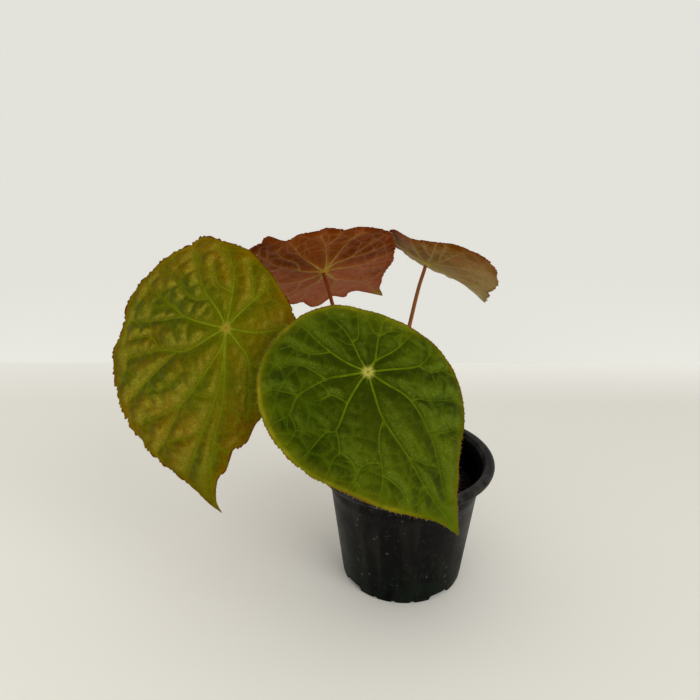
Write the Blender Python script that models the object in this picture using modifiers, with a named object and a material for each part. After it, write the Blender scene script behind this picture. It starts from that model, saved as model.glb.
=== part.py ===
"""Potted begonia: four shield leaves on a creeping rhizome, in a round nursery pot.

Sizes are in millimetres and become metres where a point is made.
The origin is the middle of the pot's flat foot, +Z is up, and -Y is the front.
"""
import math

import bmesh
import bpy
from mathutils import Matrix, Vector

MM = 0.001
SEAT_GAP = 0.3             # clearance where two pieces touch
FACET_ROOM = 0.05          # a little more, where both of them are faceted

# Pot
RIM_RADIUS = 40.0
POT_HEIGHT = 60.0
BASE_RADIUS = 27.8
SHOULDER_RADIUS = 33.2     # wall radius just under the shallow step
SHOULDER_HEIGHT = 45.2
COLLAR_RADIUS = 34.0       # the straight band between the step and the lip
COLLAR_HEIGHT = 47.0
LIP_HEIGHT = 3.8
LIP_ARC = (90, 60, 30, 0, -30, -60)   # degrees, from the lip's top round to its underside
MOUTH_RADIUS = 35.7
WALL = 1.2
FLOOR = 1.6
ROUND_STEPS = 48           # sides of the turned pieces
FOOT_SECTORS = 4           # the foot repeats this many times round the pot
FOOT_TURN = -101.0         # degrees from +X to the middle of the front sector
WIDE_NOTCH = (10.5, 2.3)   # width and height of a drain notch
SLIT_NOTCH = (2.2, 1.1)    # width and height of a narrow slit
SLIT_ANGLE = 17.5          # degrees from one slit of a sector to the next
NOTCH_DEPTH = 3.4          # how far a notch reaches in from the foot's edge

# Potting mix
MIX_LEVEL = 44.0
MIX_RIPPLE = 0.7           # height of its lumps
MIX_RINGS = (0, 0.2, 0.4, 0.6, 0.8, 1.0)   # rings of its top, as shares of its radius

# Rhizome: points along its middle, and its thickness at each
RHIZOME_PATH = [(-2, 15, 43.0), (-5, 11, 44.6), (-9, 7, 45.4), (-14, 3, 46.0),
                (-18, -1, 46.2), (-22, -5, 46.0), (-25, -8, 45.2), (-27, -10, 44.0)]
RHIZOME_RADII = [1.8, 3.4, 4.3, 4.0, 4.6, 4.1, 3.3, 1.7]

# Leaves
BLADE_THICKNESS = 0.7
PETIOLE_FOOT_RADIUS = 1.4
PETIOLE_TOP_RADIUS = 0.8
PETIOLE_POINTS = 10
FOOT_ROOM = 0.25           # more clearance under a stalk's slanting foot
STALK_RISE = 0.35          # share of a stalk's reach that it first climbs
STALK_UPRIGHT = 0.6        # how much of that climb is straight up
STALK_NECK = 1.0           # the straight end under the blade
SECTOR_ANGLE = 5.6         # degrees between the lines of a blade's net, at most
LINE_CLEARANCE = 2.5       # a vein this close to a point of the rim shares its line
RING_SHARES = (0.16, 0.32, 0.47, 0.62, 0.76, 0.89, 1.0)
TOOTH = 0.5                # depth of the margin's teeth
FOLD_ROUNDING = 4.0        # how softly a blade folds at its midrib
FORK_START, FORK_END = 0.42, 0.66   # where the main veins fork, as a share of the radius

# Each leaf: where the stalk meets the blade, the way its upper face looks (facing is the
# compass turn from the front, lift the angle above level), the turn of the tip from straight
# downhill, the curvature along and across, the fold at the midrib and the twist. A swell is a
# broad rise or dip: its middle, its reach along and across, and its height. The rim is
# (angle from the tip, radius), and the midrib's sway is (distance from the stalk, offset).
# The stalk's foot is a place on the rhizome, and arrive is the share of its length over
# which it turns square to the blade.
LEAVES = {
    "front": {
        "attach": (-18.3, -49.6, 122.9), "facing": 7.3, "lift": 37.7, "turn": 26.6,
        "along": 0.64, "across": 0.25, "fold": 0.0, "twist": -0.37, "swells": [],
        "rim": [(0, 64.5), (4, 57), (8, 51.8), (20, 43.3), (40, 37.6), (60, 32.1), (90, 25.3),
                (120, 22.2), (150, 23), (180, 29), (210, 34), (240, 38.6), (270, 40.3),
                (300, 41.4), (320, 42.7), (340, 48.7), (352, 54.3), (357, 59), (360, 64.5)],
        "sway": [(0, 0), (70, 0)],
        "veins": [0, 24, 66, 100, 131, 172, 211, 254, 297, 334],
        "quilt": 0.7, "edge_wave": 0.5, "foot": (-18.6, -1.6), "arrive": 0.22,
    },
    "left": {
        "attach": (-71.0, -27.9, 131.2), "facing": 0.0, "lift": 26.9, "turn": -2.0,
        "along": 0.35, "across": 0.5, "fold": -0.08, "twist": 0.0, "swells": [],
        "rim": [(0, 69.5), (2, 62), (3.4, 57), (7, 53), (8.5, 46.5), (14, 45.5), (18, 43), (20, 38.5),
                (30, 35.7), (42, 32.7), (58, 29.4), (75, 27.3), (100, 26), (130, 25.5), (150, 27.7),
                (167, 31), (183, 33.5), (198, 37), (206, 35.8), (235, 37.7), (255, 40.5),
                (273, 41.6), (283, 45.5), (310, 49.9), (331, 53), (350, 58.3), (357, 64), (360, 69.5)],
        "sway": [(0, 0), (25, -0.6), (42, -3.1), (57, -4.6), (65, -3.0), (70, 1.0)],
        "veins": [0, 34, 85, 139, 176, 211, 258, 297, 330, 350],
        "quilt": 1.1, "edge_wave": 0.6, "foot": (-22.6, -5.6), "arrive": 0.22,
    },
    "back": {
        "attach": (-36.5, 26.7, 137.7), "facing": 197.7, "lift": 41.3, "turn": -48.7,
        "along": -0.2, "across": 0.5, "fold": 0.15, "twist": 0.0, "swells": [],
        "rim": [(0, 49.5), (3, 36), (7, 30.8), (13, 29.6), (19, 31.8), (27, 28), (36, 31), (46, 34.4),
                (57, 30.5), (66, 31.8), (88, 28.9), (111, 29), (133, 32), (150, 35.4), (165, 38),
                (176, 37.6), (184, 39.1), (187, 33), (190, 30.4), (200, 30), (220, 28.3), (240, 28.5),
                (258, 32.5), (272, 34.6), (290, 34.1), (317, 33.4), (334, 33.1), (348, 36.8),
                (354, 40.6), (360, 49.5)],
        "sway": [(0, 0), (70, 0)],
        "veins": [0, 38, 70, 105, 155, 187, 222, 252, 281, 312],
        "quilt": 0.7, "edge_wave": 0.8, "foot": (-14.6, 2.4), "arrive": 0.2,
    },
    "right": {
        "attach": (10.6, 38.0, 138.3), "facing": 127.5, "lift": 51.1, "turn": 11.8,
        "along": -0.69, "across": -0.146, "fold": 0.129, "twist": 0.49,
        "swells": [((28.4, -2.5), (24.8, 10.5), 3.57), ((52.7, -7.0), (9.0, 9.0), -2.53)],
        "rim": [(0, 55.8), (3, 50.8), (8, 49.3), (16, 42.3), (28, 36.8), (46, 28.9), (76, 17.1),
                (106, 17.9), (136, 19.9), (166, 26.9), (191, 23.4), (211, 26.1), (226, 30.3),
                (241, 35.4), (256, 37.9), (271, 36.1), (286, 33.4), (298, 30.9), (308, 32.5),
                (321, 34.6), (334, 39.7), (341, 43.7), (348, 49.2), (354, 55.6), (360, 55.8)],
        "sway": [(0, 0), (70, 0)],
        "veins": [0, 25, 60, 100, 150, 185, 214, 236, 256, 297],
        "quilt": 0.6, "edge_wave": 0.4, "foot": (-9.6, 6.5), "arrive": 0.05,
    },
}

COLOURS = {                # base colour, roughness
    "black_plastic": ((0.012, 0.012, 0.013), 0.42),
    "peat": ((0.028, 0.019, 0.013), 0.95),
    "rhizome_bark": ((0.09, 0.045, 0.025), 0.8),
    "red_stalk": ((0.30, 0.075, 0.045), 0.45),
    "green_leaf": ((0.075, 0.16, 0.025), 0.5),
    "olive_leaf": ((0.13, 0.15, 0.025), 0.42),
    "red_leaf": ((0.16, 0.055, 0.04), 0.5),
}


def remove_all_objects():
    for obj in list(bpy.data.objects):
        bpy.data.objects.remove(obj, do_unlink=True)


def make_collection(name):
    collection = bpy.data.collections.new(name)
    bpy.context.scene.collection.children.link(collection)
    return collection


def make_material(name):
    colour, roughness = COLOURS[name]
    material = bpy.data.materials.new(name)
    material.use_nodes = True
    shader = material.node_tree.nodes["Principled BSDF"]
    shader.inputs["Base Color"].default_value = (*colour, 1.0)
    shader.inputs["Roughness"].default_value = roughness
    material.diffuse_color = (*colour, 1.0)
    return material


def add_object(name, data, collection, material=None):
    obj = bpy.data.objects.new(name, data)
    collection.objects.link(obj)
    if material is not None:
        data.materials.append(material)
    return obj


def shade_round(obj, angle=35.0):
    obj.data.shade_smooth()
    obj.data.set_sharp_from_angle(angle=math.radians(angle))


def mm_point(x, y, z):
    return Vector((x, y, z)) * MM


# Turned pieces

def turned(name, profile, collection, material):
    """A solid turned from (radius, height) points that run down the outside and in."""
    mesh = bpy.data.meshes.new(name)
    edges = [(i, i + 1) for i in range(len(profile) - 1)]
    mesh.from_pydata([mm_point(radius, 0, height) for radius, height in profile], edges, [])
    obj = add_object(name, mesh, collection, material)
    screw = obj.modifiers.new("turn", "SCREW")
    screw.axis = "Z"
    screw.steps = ROUND_STEPS
    screw.render_steps = ROUND_STEPS
    screw.use_merge_vertices = True
    screw.merge_threshold = 0.00001
    screw.use_smooth_shade = True
    return obj


def wall_radius(height):
    """Outer radius of the tapered wall below the stacking step."""
    return BASE_RADIUS + (SHOULDER_RADIUS - BASE_RADIUS) * height / SHOULDER_HEIGHT


def lip_arc():
    """The rolled lip, from its top round to its underside."""
    middle = RIM_RADIUS - LIP_HEIGHT / 2
    level = POT_HEIGHT - LIP_HEIGHT / 2
    points = []
    for degrees in LIP_ARC:
        a = math.radians(degrees)
        points.append((middle + LIP_HEIGHT / 2 * math.cos(a), level + LIP_HEIGHT / 2 * math.sin(a)))
    return points


def pot_outside():
    underside = POT_HEIGHT - LIP_HEIGHT
    return lip_arc() + [
        (COLLAR_RADIUS + 0.2, underside - 0.2), (COLLAR_RADIUS, COLLAR_HEIGHT),
        (SHOULDER_RADIUS, SHOULDER_HEIGHT), (wall_radius(20), 20), (wall_radius(3), 3),
        (BASE_RADIUS, 0.6), (BASE_RADIUS - 0.2, 0.2), (BASE_RADIUS - 0.6, 0.0), (0, 0)]


def pot_inside():
    """The inner wall, from the floor's middle up to the mouth."""
    return [(0, FLOOR), (BASE_RADIUS - WALL - 1.2, FLOOR), (wall_radius(3) - WALL, FLOOR + 1.2),
            (wall_radius(20) - WALL, 20), (SHOULDER_RADIUS - WALL, SHOULDER_HEIGHT),
            (COLLAR_RADIUS - WALL, COLLAR_HEIGHT + 0.6),
            (COLLAR_RADIUS - WALL, POT_HEIGHT - LIP_HEIGHT - 1.0),
            (MOUTH_RADIUS, POT_HEIGHT - 1.6), (MOUTH_RADIUS + 0.7, POT_HEIGHT - 0.4)]


def notch_cutter(cutters, index, angle, width, height):
    """A block that cuts one notch through the foot's edge."""
    bpy.ops.mesh.primitive_cube_add(size=1)
    block = bpy.context.active_object
    block.name = f"notch_cutter_{index:02d}"
    reach = 2 * NOTCH_DEPTH
    block.scale = (reach * MM, width * MM, 2 * height * MM)
    middle = BASE_RADIUS - NOTCH_DEPTH + reach / 2
    block.location = mm_point(middle * math.cos(angle), middle * math.sin(angle), 0)
    block.rotation_euler = (0, 0, angle)
    for owner in list(block.users_collection):
        owner.objects.unlink(block)
    cutters.objects.link(block)
    block.hide_render = True
    block.display_type = "WIRE"


def foot_notches(cutters):
    """The foot's cutters: a wide drain notch between sectors and three slits in each."""
    index = 0
    for sector in range(FOOT_SECTORS):
        middle = FOOT_TURN + 360 / FOOT_SECTORS * sector
        notch_cutter(cutters, index, math.radians(middle + 180 / FOOT_SECTORS), *WIDE_NOTCH)
        for step in (-1, 0, 1):
            notch_cutter(cutters, index + 2 + step, math.radians(middle + step * SLIT_ANGLE), *SLIT_NOTCH)
        index += 4


def cut_by_collection(obj, cutters):
    boolean = obj.modifiers.new("cut", "BOOLEAN")
    boolean.operation = "DIFFERENCE"
    boolean.operand_type = "COLLECTION"
    boolean.collection = cutters
    boolean.solver = "EXACT"


def make_pot(parts, cutters, material):
    pot = turned("pot", pot_outside() + pot_inside() + lip_arc()[:1], parts, material)
    foot_notches(cutters)
    cut_by_collection(pot, cutters)
    return pot


# Potting mix

def mix_ripple(x, y):
    """Uneven surface of the mix, in millimetres."""
    broad = math.sin(0.21 * x + 0.9) * math.cos(0.17 * y - 0.4)
    lumps = 0.5 * math.sin(0.55 * x - 0.4 * y) * math.sin(0.47 * y + 1.3)
    return MIX_RIPPLE * (broad + lumps)


def mix_profile():
    """Top surface from the middle out, then down the pot's inner wall and in along its floor."""
    gap = WALL + SEAT_GAP
    edge = wall_radius(MIX_LEVEL) - gap
    top = [(edge * share, MIX_LEVEL) for share in MIX_RINGS]
    side = [(wall_radius(20) - gap, 20), (wall_radius(3) - gap, FLOOR + SEAT_GAP + 1.2)]
    return top + side + [(BASE_RADIUS - gap - 1.3, FLOOR + SEAT_GAP), (0, FLOOR + SEAT_GAP)]


def make_mix(parts, cutters, rhizome, material):
    mix = turned("potting_mix", mix_profile(), parts, material)
    solid = bake(mix)
    inside = wall_radius(MIX_LEVEL) - WALL - 1.0
    for vertex in solid.vertices:
        x, y, z = vertex.co / MM
        if z > MIX_LEVEL - 0.01 and math.hypot(x, y) < inside:
            vertex.co.z += mix_ripple(x, y) * MM
    mix = add_object("potting_mix", solid, parts)
    add_bed_cutter(mix, rhizome, cutters)
    return mix


def bake(obj):
    """The evaluated mesh of an object, welded, in world space; the object is removed."""
    depsgraph = bpy.context.evaluated_depsgraph_get()
    mesh = bpy.data.meshes.new_from_object(obj.evaluated_get(depsgraph))
    mesh.transform(obj.matrix_world)
    bm = bmesh.new()
    bm.from_mesh(mesh)
    bmesh.ops.remove_doubles(bm, verts=bm.verts, dist=0.00001)
    bm.to_mesh(mesh)
    bm.free()
    bpy.data.objects.remove(obj, do_unlink=True)
    return mesh


def add_bed_cutter(mix, rhizome, cutters):
    """Presses the rhizome's bed into the mix, a little larger than the rhizome."""
    bm = bmesh.new()
    bm.from_mesh(rhizome.data)
    bm.normal_update()
    for vertex in bm.verts:
        vertex.co += vertex.normal * (SEAT_GAP + FACET_ROOM) * MM
    mesh = bpy.data.meshes.new("rhizome_bed_cutter")
    bm.to_mesh(mesh)
    bm.free()
    bed = add_object("rhizome_bed_cutter", mesh, cutters)
    bed.hide_render = True
    bed.display_type = "WIRE"
    boolean = mix.modifiers.new("bed", "BOOLEAN")
    boolean.operation = "DIFFERENCE"
    boolean.object = bed
    boolean.solver = "EXACT"


# Rhizome and stalks

def tube(name, points, radii, collection, material, resolution=2):
    """A round tube of changing thickness through the points, with closed ends."""
    curve = bpy.data.curves.new(name, "CURVE")
    curve.dimensions = "3D"
    curve.bevel_depth = MM
    curve.bevel_resolution = resolution
    curve.use_fill_caps = True
    spline = curve.splines.new("POLY")
    spline.points.add(len(points) - 1)
    for place, point, radius in zip(spline.points, points, radii):
        place.co = (*mm_point(*point), 1.0)
        place.radius = radius
    return add_object(name, curve, collection, material)


def make_rhizome(parts, material):
    rough = tube("rhizome_line", RHIZOME_PATH, RHIZOME_RADII, parts, material, resolution=3)
    rhizome = add_object("rhizome", bake(rough), parts)
    shade_round(rhizome, 50)
    return rhizome


def rhizome_top(x, y):
    """Height of the rhizome's upper side beside the point (x, y)."""
    best = None
    stations = list(zip(RHIZOME_PATH, RHIZOME_RADII))
    for (a, ra), (b, rb) in zip(stations, stations[1:]):
        for share in (0, 0.25, 0.5, 0.75, 1):
            px, py, pz = (p + (q - p) * share for p, q in zip(a, b))
            radius = ra + (rb - ra) * share
            away = math.hypot(px - x, py - y)
            if best is None or away < best[0]:
                best = (away, pz + math.sqrt(max(radius ** 2 - away ** 2, 0)))
    return best[1]


def bezier(a, b, c, d, t):
    s = 1 - t
    return a * s ** 3 + b * 3 * s * s * t + c * 3 * s * t * t + d * t ** 3


def make_petiole(side, leaf, parts, material):
    """The stalk rises from the rhizome and meets the blade's underside square on."""
    face = leaf_matrix(leaf).to_3x3().col[2]
    x, y = leaf["foot"]
    foot = Vector((x, y, rhizome_top(x, y) + SEAT_GAP + FOOT_ROOM))
    top = Vector(leaf["attach"]) - face * (BLADE_THICKNESS / 2 + SEAT_GAP + FACET_ROOM)
    reach = (top - foot).length
    start = Vector((0, 0, STALK_UPRIGHT)) + (top - foot).normalized() * (1 - STALK_UPRIGHT)
    rise = foot + start * reach * STALK_RISE
    meet = top - face * reach * leaf["arrive"]
    points = [bezier(foot, rise, meet, top, i / (PETIOLE_POINTS - 1)) for i in range(PETIOLE_POINTS)]
    points.insert(-1, top - face * STALK_NECK)
    radii = [PETIOLE_TOP_RADIUS + (PETIOLE_FOOT_RADIUS - PETIOLE_TOP_RADIUS) * (1 - i / PETIOLE_POINTS) ** 2
             for i in range(PETIOLE_POINTS + 1)]
    return tube(f"petiole_{side}", points, radii, parts, material)


# Leaf blades

def leaf_matrix(leaf):
    """Frame of a blade: X towards the tip, Z out of the upper face, at the stalk."""
    facing = math.radians(leaf["facing"])
    lift = math.radians(leaf["lift"])
    turn = math.radians(leaf["turn"])
    face = Vector((math.sin(facing) * math.cos(lift), -math.cos(facing) * math.cos(lift), math.sin(lift)))
    downhill = (Vector((0, 0, -1)) + face * face.z).normalized()
    tipward = downhill * math.cos(turn) + face.cross(downhill) * math.sin(turn)
    across = face.cross(tipward)
    matrix = Matrix((tipward, across, face)).transposed().to_4x4()
    matrix.translation = mm_point(*leaf["attach"])
    return matrix


def along_curve(points, x):
    """Smooth curve through the points, read at x; its two ends keep their own slopes."""
    slopes = []
    for i in range(len(points)):
        a = points[max(i - 1, 0)]
        b = points[min(i + 1, len(points) - 1)]
        slopes.append((b[1] - a[1]) / (b[0] - a[0]))
    for i in range(len(points) - 1):
        (x0, y0), (x1, y1) = points[i], points[i + 1]
        if x <= x1:
            span = x1 - x0
            t = (x - x0) / span
            return ((2 * t ** 3 - 3 * t ** 2 + 1) * y0 + (t ** 3 - 2 * t ** 2 + t) * span * slopes[i]
                    + (3 * t ** 2 - 2 * t ** 3) * y1 + (t ** 3 - t ** 2) * span * slopes[i + 1])
    return points[-1][1]


def between(value, low, high):
    """0 below low, 1 above high, and a smooth step between them."""
    t = min(max((value - low) / (high - low), 0), 1)
    return t * t * (3 - 2 * t)


def quilting(leaf, angle, share):
    """Height of the raised panels; they sink to nothing along the veins and their forks."""
    veins = leaf["veins"] + [360]
    for start, end in zip(veins, veins[1:]):
        if angle <= end:
            place = (angle - start) / (end - start)
            break
    whole = math.sin(math.pi * place)
    forked = abs(math.sin(2 * math.pi * place))
    panel = whole + (forked - whole) * between(share, FORK_START, FORK_END)
    rows = 0.8 + 0.2 * math.cos(6 * math.pi * share)
    return leaf["quilt"] * panel * rows * math.sin(math.pi * min(share, 0.97) ** 0.8)


def swell_height(leaf, u, v):
    """Height of the blade's broad swells at a place of its own plane."""
    height = 0
    for (x, y), (reach_along, reach_across), rise in leaf["swells"]:
        height += rise * math.exp(-((u - x) / reach_along) ** 2 - ((v - y) / reach_across) ** 2)
    return height


def blade_point(leaf, angle, share, tooth):
    """A point of the blade's middle surface, in the leaf's own frame."""
    radius = along_curve(leaf["rim"], angle) * share - tooth * between(share, 0.9, 1)
    a = math.radians(angle)
    u = radius * math.cos(a)
    v = radius * math.sin(a) + along_curve(leaf["sway"], max(radius * math.cos(a), 0))
    form = -(leaf["along"] * u * u + leaf["across"] * v * v) / 200
    form += leaf["fold"] * (math.sqrt(v * v + FOLD_ROUNDING ** 2) - FOLD_ROUNDING)
    form += leaf["twist"] * u * v / 100 + swell_height(leaf, u, v) - swell_height(leaf, 0, 0)
    wave = leaf["edge_wave"] * share ** 4 * math.sin(9 * a + 1.0) * math.cos(4 * a)
    return mm_point(u, v, form + wave + quilting(leaf, angle, share))


def net_lines(leaf):
    """Lines of the blade's net, as (angle, tooth depth): the rim's own points and the main
    veins stand out, and the lines filled in between them are the valleys of the teeth."""
    anchors = [angle for angle, radius in leaf["rim"]]
    anchors += [vein for vein in leaf["veins"] if min(abs(vein - a) for a in anchors) > LINE_CLEARANCE]
    anchors.sort()
    lines = []
    for start, end in zip(anchors, anchors[1:]):
        count = 1
        if end - start > SECTOR_ANGLE:
            count = 2 * max(1, round((end - start) / SECTOR_ANGLE / 2))
        for i in range(count):
            lines.append((start + (end - start) * i / count, TOOTH * (i % 2)))
    return lines


def blade_sheet(leaf):
    """The blade as an open sheet of triangles, from the stalk out to the toothed rim."""
    bm = bmesh.new()
    middle = bm.verts.new(blade_point(leaf, 0, 0, 0))
    lines = net_lines(leaf)
    rings = []
    for share in RING_SHARES:
        rings.append([bm.verts.new(blade_point(leaf, angle, share, tooth)) for angle, tooth in lines])
    for k in range(len(lines)):
        after = (k + 1) % len(lines)
        bm.faces.new((middle, rings[0][k], rings[0][after]))
        for inner, outer in zip(rings, rings[1:]):
            if k % 2:
                bm.faces.new((inner[k], outer[k], outer[after]))
                bm.faces.new((inner[k], outer[after], inner[after]))
            else:
                bm.faces.new((inner[k], outer[k], inner[after]))
                bm.faces.new((outer[k], outer[after], inner[after]))
    mesh = bpy.data.meshes.new("blade_sheet")
    bm.to_mesh(mesh)
    bm.free()
    return mesh


def make_blade(side, leaf, parts, material):
    frame = bpy.data.objects.new(f"leaf_{side}", None)
    parts.objects.link(frame)
    frame.empty_display_size = 10 * MM
    frame.matrix_world = leaf_matrix(leaf)
    blade = add_object(f"blade_{side}", blade_sheet(leaf), parts, material)
    blade.parent = frame
    blade.data.shade_smooth()
    thick = blade.modifiers.new("thickness", "SOLIDIFY")
    thick.thickness = BLADE_THICKNESS * MM
    thick.offset = 0
    return blade


def main():
    remove_all_objects()
    parts = make_collection("potted_begonia")
    foot_cutters = make_collection("foot_cutters")
    bed_cutters = make_collection("bed_cutters")
    make_pot(parts, foot_cutters, make_material("black_plastic"))
    rhizome = make_rhizome(parts, make_material("rhizome_bark"))
    make_mix(parts, bed_cutters, rhizome, make_material("peat"))
    stalk = make_material("red_stalk")
    olive = make_material("olive_leaf")
    red = make_material("red_leaf")
    finishes = {"front": make_material("green_leaf"), "left": olive, "back": red, "right": red}
    for side, leaf in LEAVES.items():
        make_petiole(side, leaf, parts, stalk)
        make_blade(side, leaf, parts, finishes[side])


main()
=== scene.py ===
import math
from functools import cached_property

import bpy
import numpy as np
from mathutils import Matrix, Vector, noise as lumps


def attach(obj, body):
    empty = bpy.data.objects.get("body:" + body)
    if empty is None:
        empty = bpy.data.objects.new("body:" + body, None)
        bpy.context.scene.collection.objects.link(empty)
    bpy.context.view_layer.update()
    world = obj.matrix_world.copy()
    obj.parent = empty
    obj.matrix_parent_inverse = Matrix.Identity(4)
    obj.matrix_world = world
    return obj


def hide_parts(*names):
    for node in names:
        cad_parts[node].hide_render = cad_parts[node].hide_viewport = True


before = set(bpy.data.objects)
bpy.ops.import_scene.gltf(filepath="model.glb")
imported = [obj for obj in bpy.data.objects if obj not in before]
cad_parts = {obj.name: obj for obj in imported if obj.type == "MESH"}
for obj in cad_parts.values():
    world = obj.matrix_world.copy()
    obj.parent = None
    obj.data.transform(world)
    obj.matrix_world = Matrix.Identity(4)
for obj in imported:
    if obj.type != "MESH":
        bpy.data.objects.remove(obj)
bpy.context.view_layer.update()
mm = 0.001
print("frame loaded:", len(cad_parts), "nodes")


def addObject(name, data):
    made = bpy.data.objects.new(name, data)
    bpy.context.scene.collection.objects.link(made)
    return made


# Camera: where the photograph was taken from, with a lens as long as its sensor is wide
photoCamera = {"place": (-24.6, -273.3, 223.2), "lookDown": 22.35, "lens": 36.0, "nearest": 0.01}


def makeCamera():
    camera = addObject("photoCamera", bpy.data.cameras.new("photoCamera"))
    camera.data.sensor_width = photoCamera["lens"]
    camera.data.lens = photoCamera["lens"]
    camera.data.clip_start = photoCamera["nearest"]
    camera.location = Vector(photoCamera["place"]) * mm
    camera.rotation_euler = (math.radians(90 - photoCamera["lookDown"]), 0, 0)
    bpy.context.scene.camera = camera


makeCamera()


# Shader helpers. Colours with three numbers are screen colours from 0 to 255.
def paint(colour):
    # a screen colour as the linear colour that shaders use
    linear = [((c / 255 + 0.055) / 1.055) ** 2.4 if c > 10 else c / 255 / 12.92 for c in colour]
    return (*linear, 1.0)


def fill(node, inputs):
    # sets a node's inputs, or joins them to values
    for key, value in inputs.items():
        socket = node.inputs[key]
        if isinstance(value, Value):
            value.nodes.tree.links.new(value.socket, socket)
        elif socket.type == "RGBA" and len(value) == 3:
            socket.default_value = paint(value)
        else:
            socket.default_value = value


class Value:
    # a node's output, which can be added, subtracted and multiplied by Math nodes
    def __init__(self, nodes, socket):
        self.nodes, self.socket = nodes, socket

    def __add__(self, other):
        return self.nodes.maths("ADD", self, other)

    def __sub__(self, other):
        return self.nodes.maths("SUBTRACT", self, other)

    def __mul__(self, other):
        return self.nodes.maths("MULTIPLY", self, other)

    def beside(self, name):
        # another output of the same node
        return Value(self.nodes, self.socket.node.outputs[name])


class Nodes:
    # adds nodes to one tree
    def __init__(self, tree):
        self.tree = tree

    def add(self, kind, inputs=None, out=0, **settings):
        node = self.tree.nodes.new("ShaderNode" + kind)
        for key, value in settings.items():
            setattr(node, key, value)
        fill(node, inputs or {})
        return Value(self, node.outputs[out])

    @cached_property
    def spot(self):
        return self.add("TexCoord", out="Object")

    def axis(self, name, place=None):
        return self.add("SeparateXYZ", {0: place or self.spot}, name)

    def drawnOut(self, share):
        # places for a pattern that is drawn out upwards
        return self.add("Mapping", {0: self.spot, 3: (1.0, 1.0, share)})

    def mask(self, name):
        # a number kept at each point of the mesh
        return self.add("Attribute", out="Fac", attribute_name=name)

    def maths(self, operation, a, b=0.0, **settings):
        return self.add("Math", {0: a, 1: b}, operation=operation, **settings)

    def spread(self, value, low, high, toLow=0.0, toHigh=1.0):
        # value from low to high becomes toLow to toHigh, and no further
        return self.add("MapRange", {0: value, 1: low, 2: high, 3: toLow, 4: toHigh})

    def noise(self, scale, detail=3.0, roughness=0.55, distortion=0.0, at=None):
        return self.add("TexNoise", {"Vector": at or self.spot, "Scale": scale, "Detail": detail,
                                     "Roughness": roughness, "Distortion": distortion})

    def cells(self, scale, feature):
        return self.add("TexVoronoi", {"Vector": self.spot, "Scale": scale}, "Distance", feature=feature)

    def mix(self, factor, a, b, blend="MIX"):
        return self.add("Mix", {0: factor, 6: a, 7: b}, 2, data_type="RGBA", blend_type=blend)

    def layers(self, base, *coats):
        # colours laid over each other, each as (how much, colour)
        for amount, colour in coats:
            base = self.mix(amount, base, colour)
        return base

    def group(self, name, **inputs):
        return self.add("Group", inputs, node_tree=bpy.data.node_groups[name])


class Skin(Nodes):
    # a material round its own Principled shader
    def __init__(self, name, roughness, **fixed):
        self.material = bpy.data.materials.new(name)
        self.material.use_nodes = True
        super().__init__(self.material.node_tree)
        self.feed(Roughness=roughness, **fixed)

    def feed(self, **inputs):
        named = {key.replace("_", " "): value for key, value in inputs.items()}
        fill(self.tree.nodes["Principled BSDF"], named)

    def finish(self, colour, height=None, strength=0.0, distance=0.0):
        self.feed(Base_Color=colour)
        if height:
            bump = {"Height": height, "Strength": strength, "Distance": distance}
            self.feed(Normal=self.add("Bump", bump))
        return self.material


def newGroup(name, colours, numbers, results):
    tree = bpy.data.node_groups.new(name, "ShaderNodeTree")
    for label in colours:
        tree.interface.new_socket(label, in_out="INPUT", socket_type="NodeSocketColor")
    for label, value in numbers.items():
        socket = tree.interface.new_socket(label, in_out="INPUT", socket_type="NodeSocketFloat")
        socket.default_value = value
    for label, kind in results.items():
        tree.interface.new_socket(label, in_out="OUTPUT", socket_type="NodeSocket" + kind)
    nodes = Nodes(tree)
    given = {socket.name: Value(nodes, socket) for socket in tree.nodes.new("NodeGroupInput").outputs}
    return nodes, given, tree.nodes.new("NodeGroupOutput")


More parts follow.
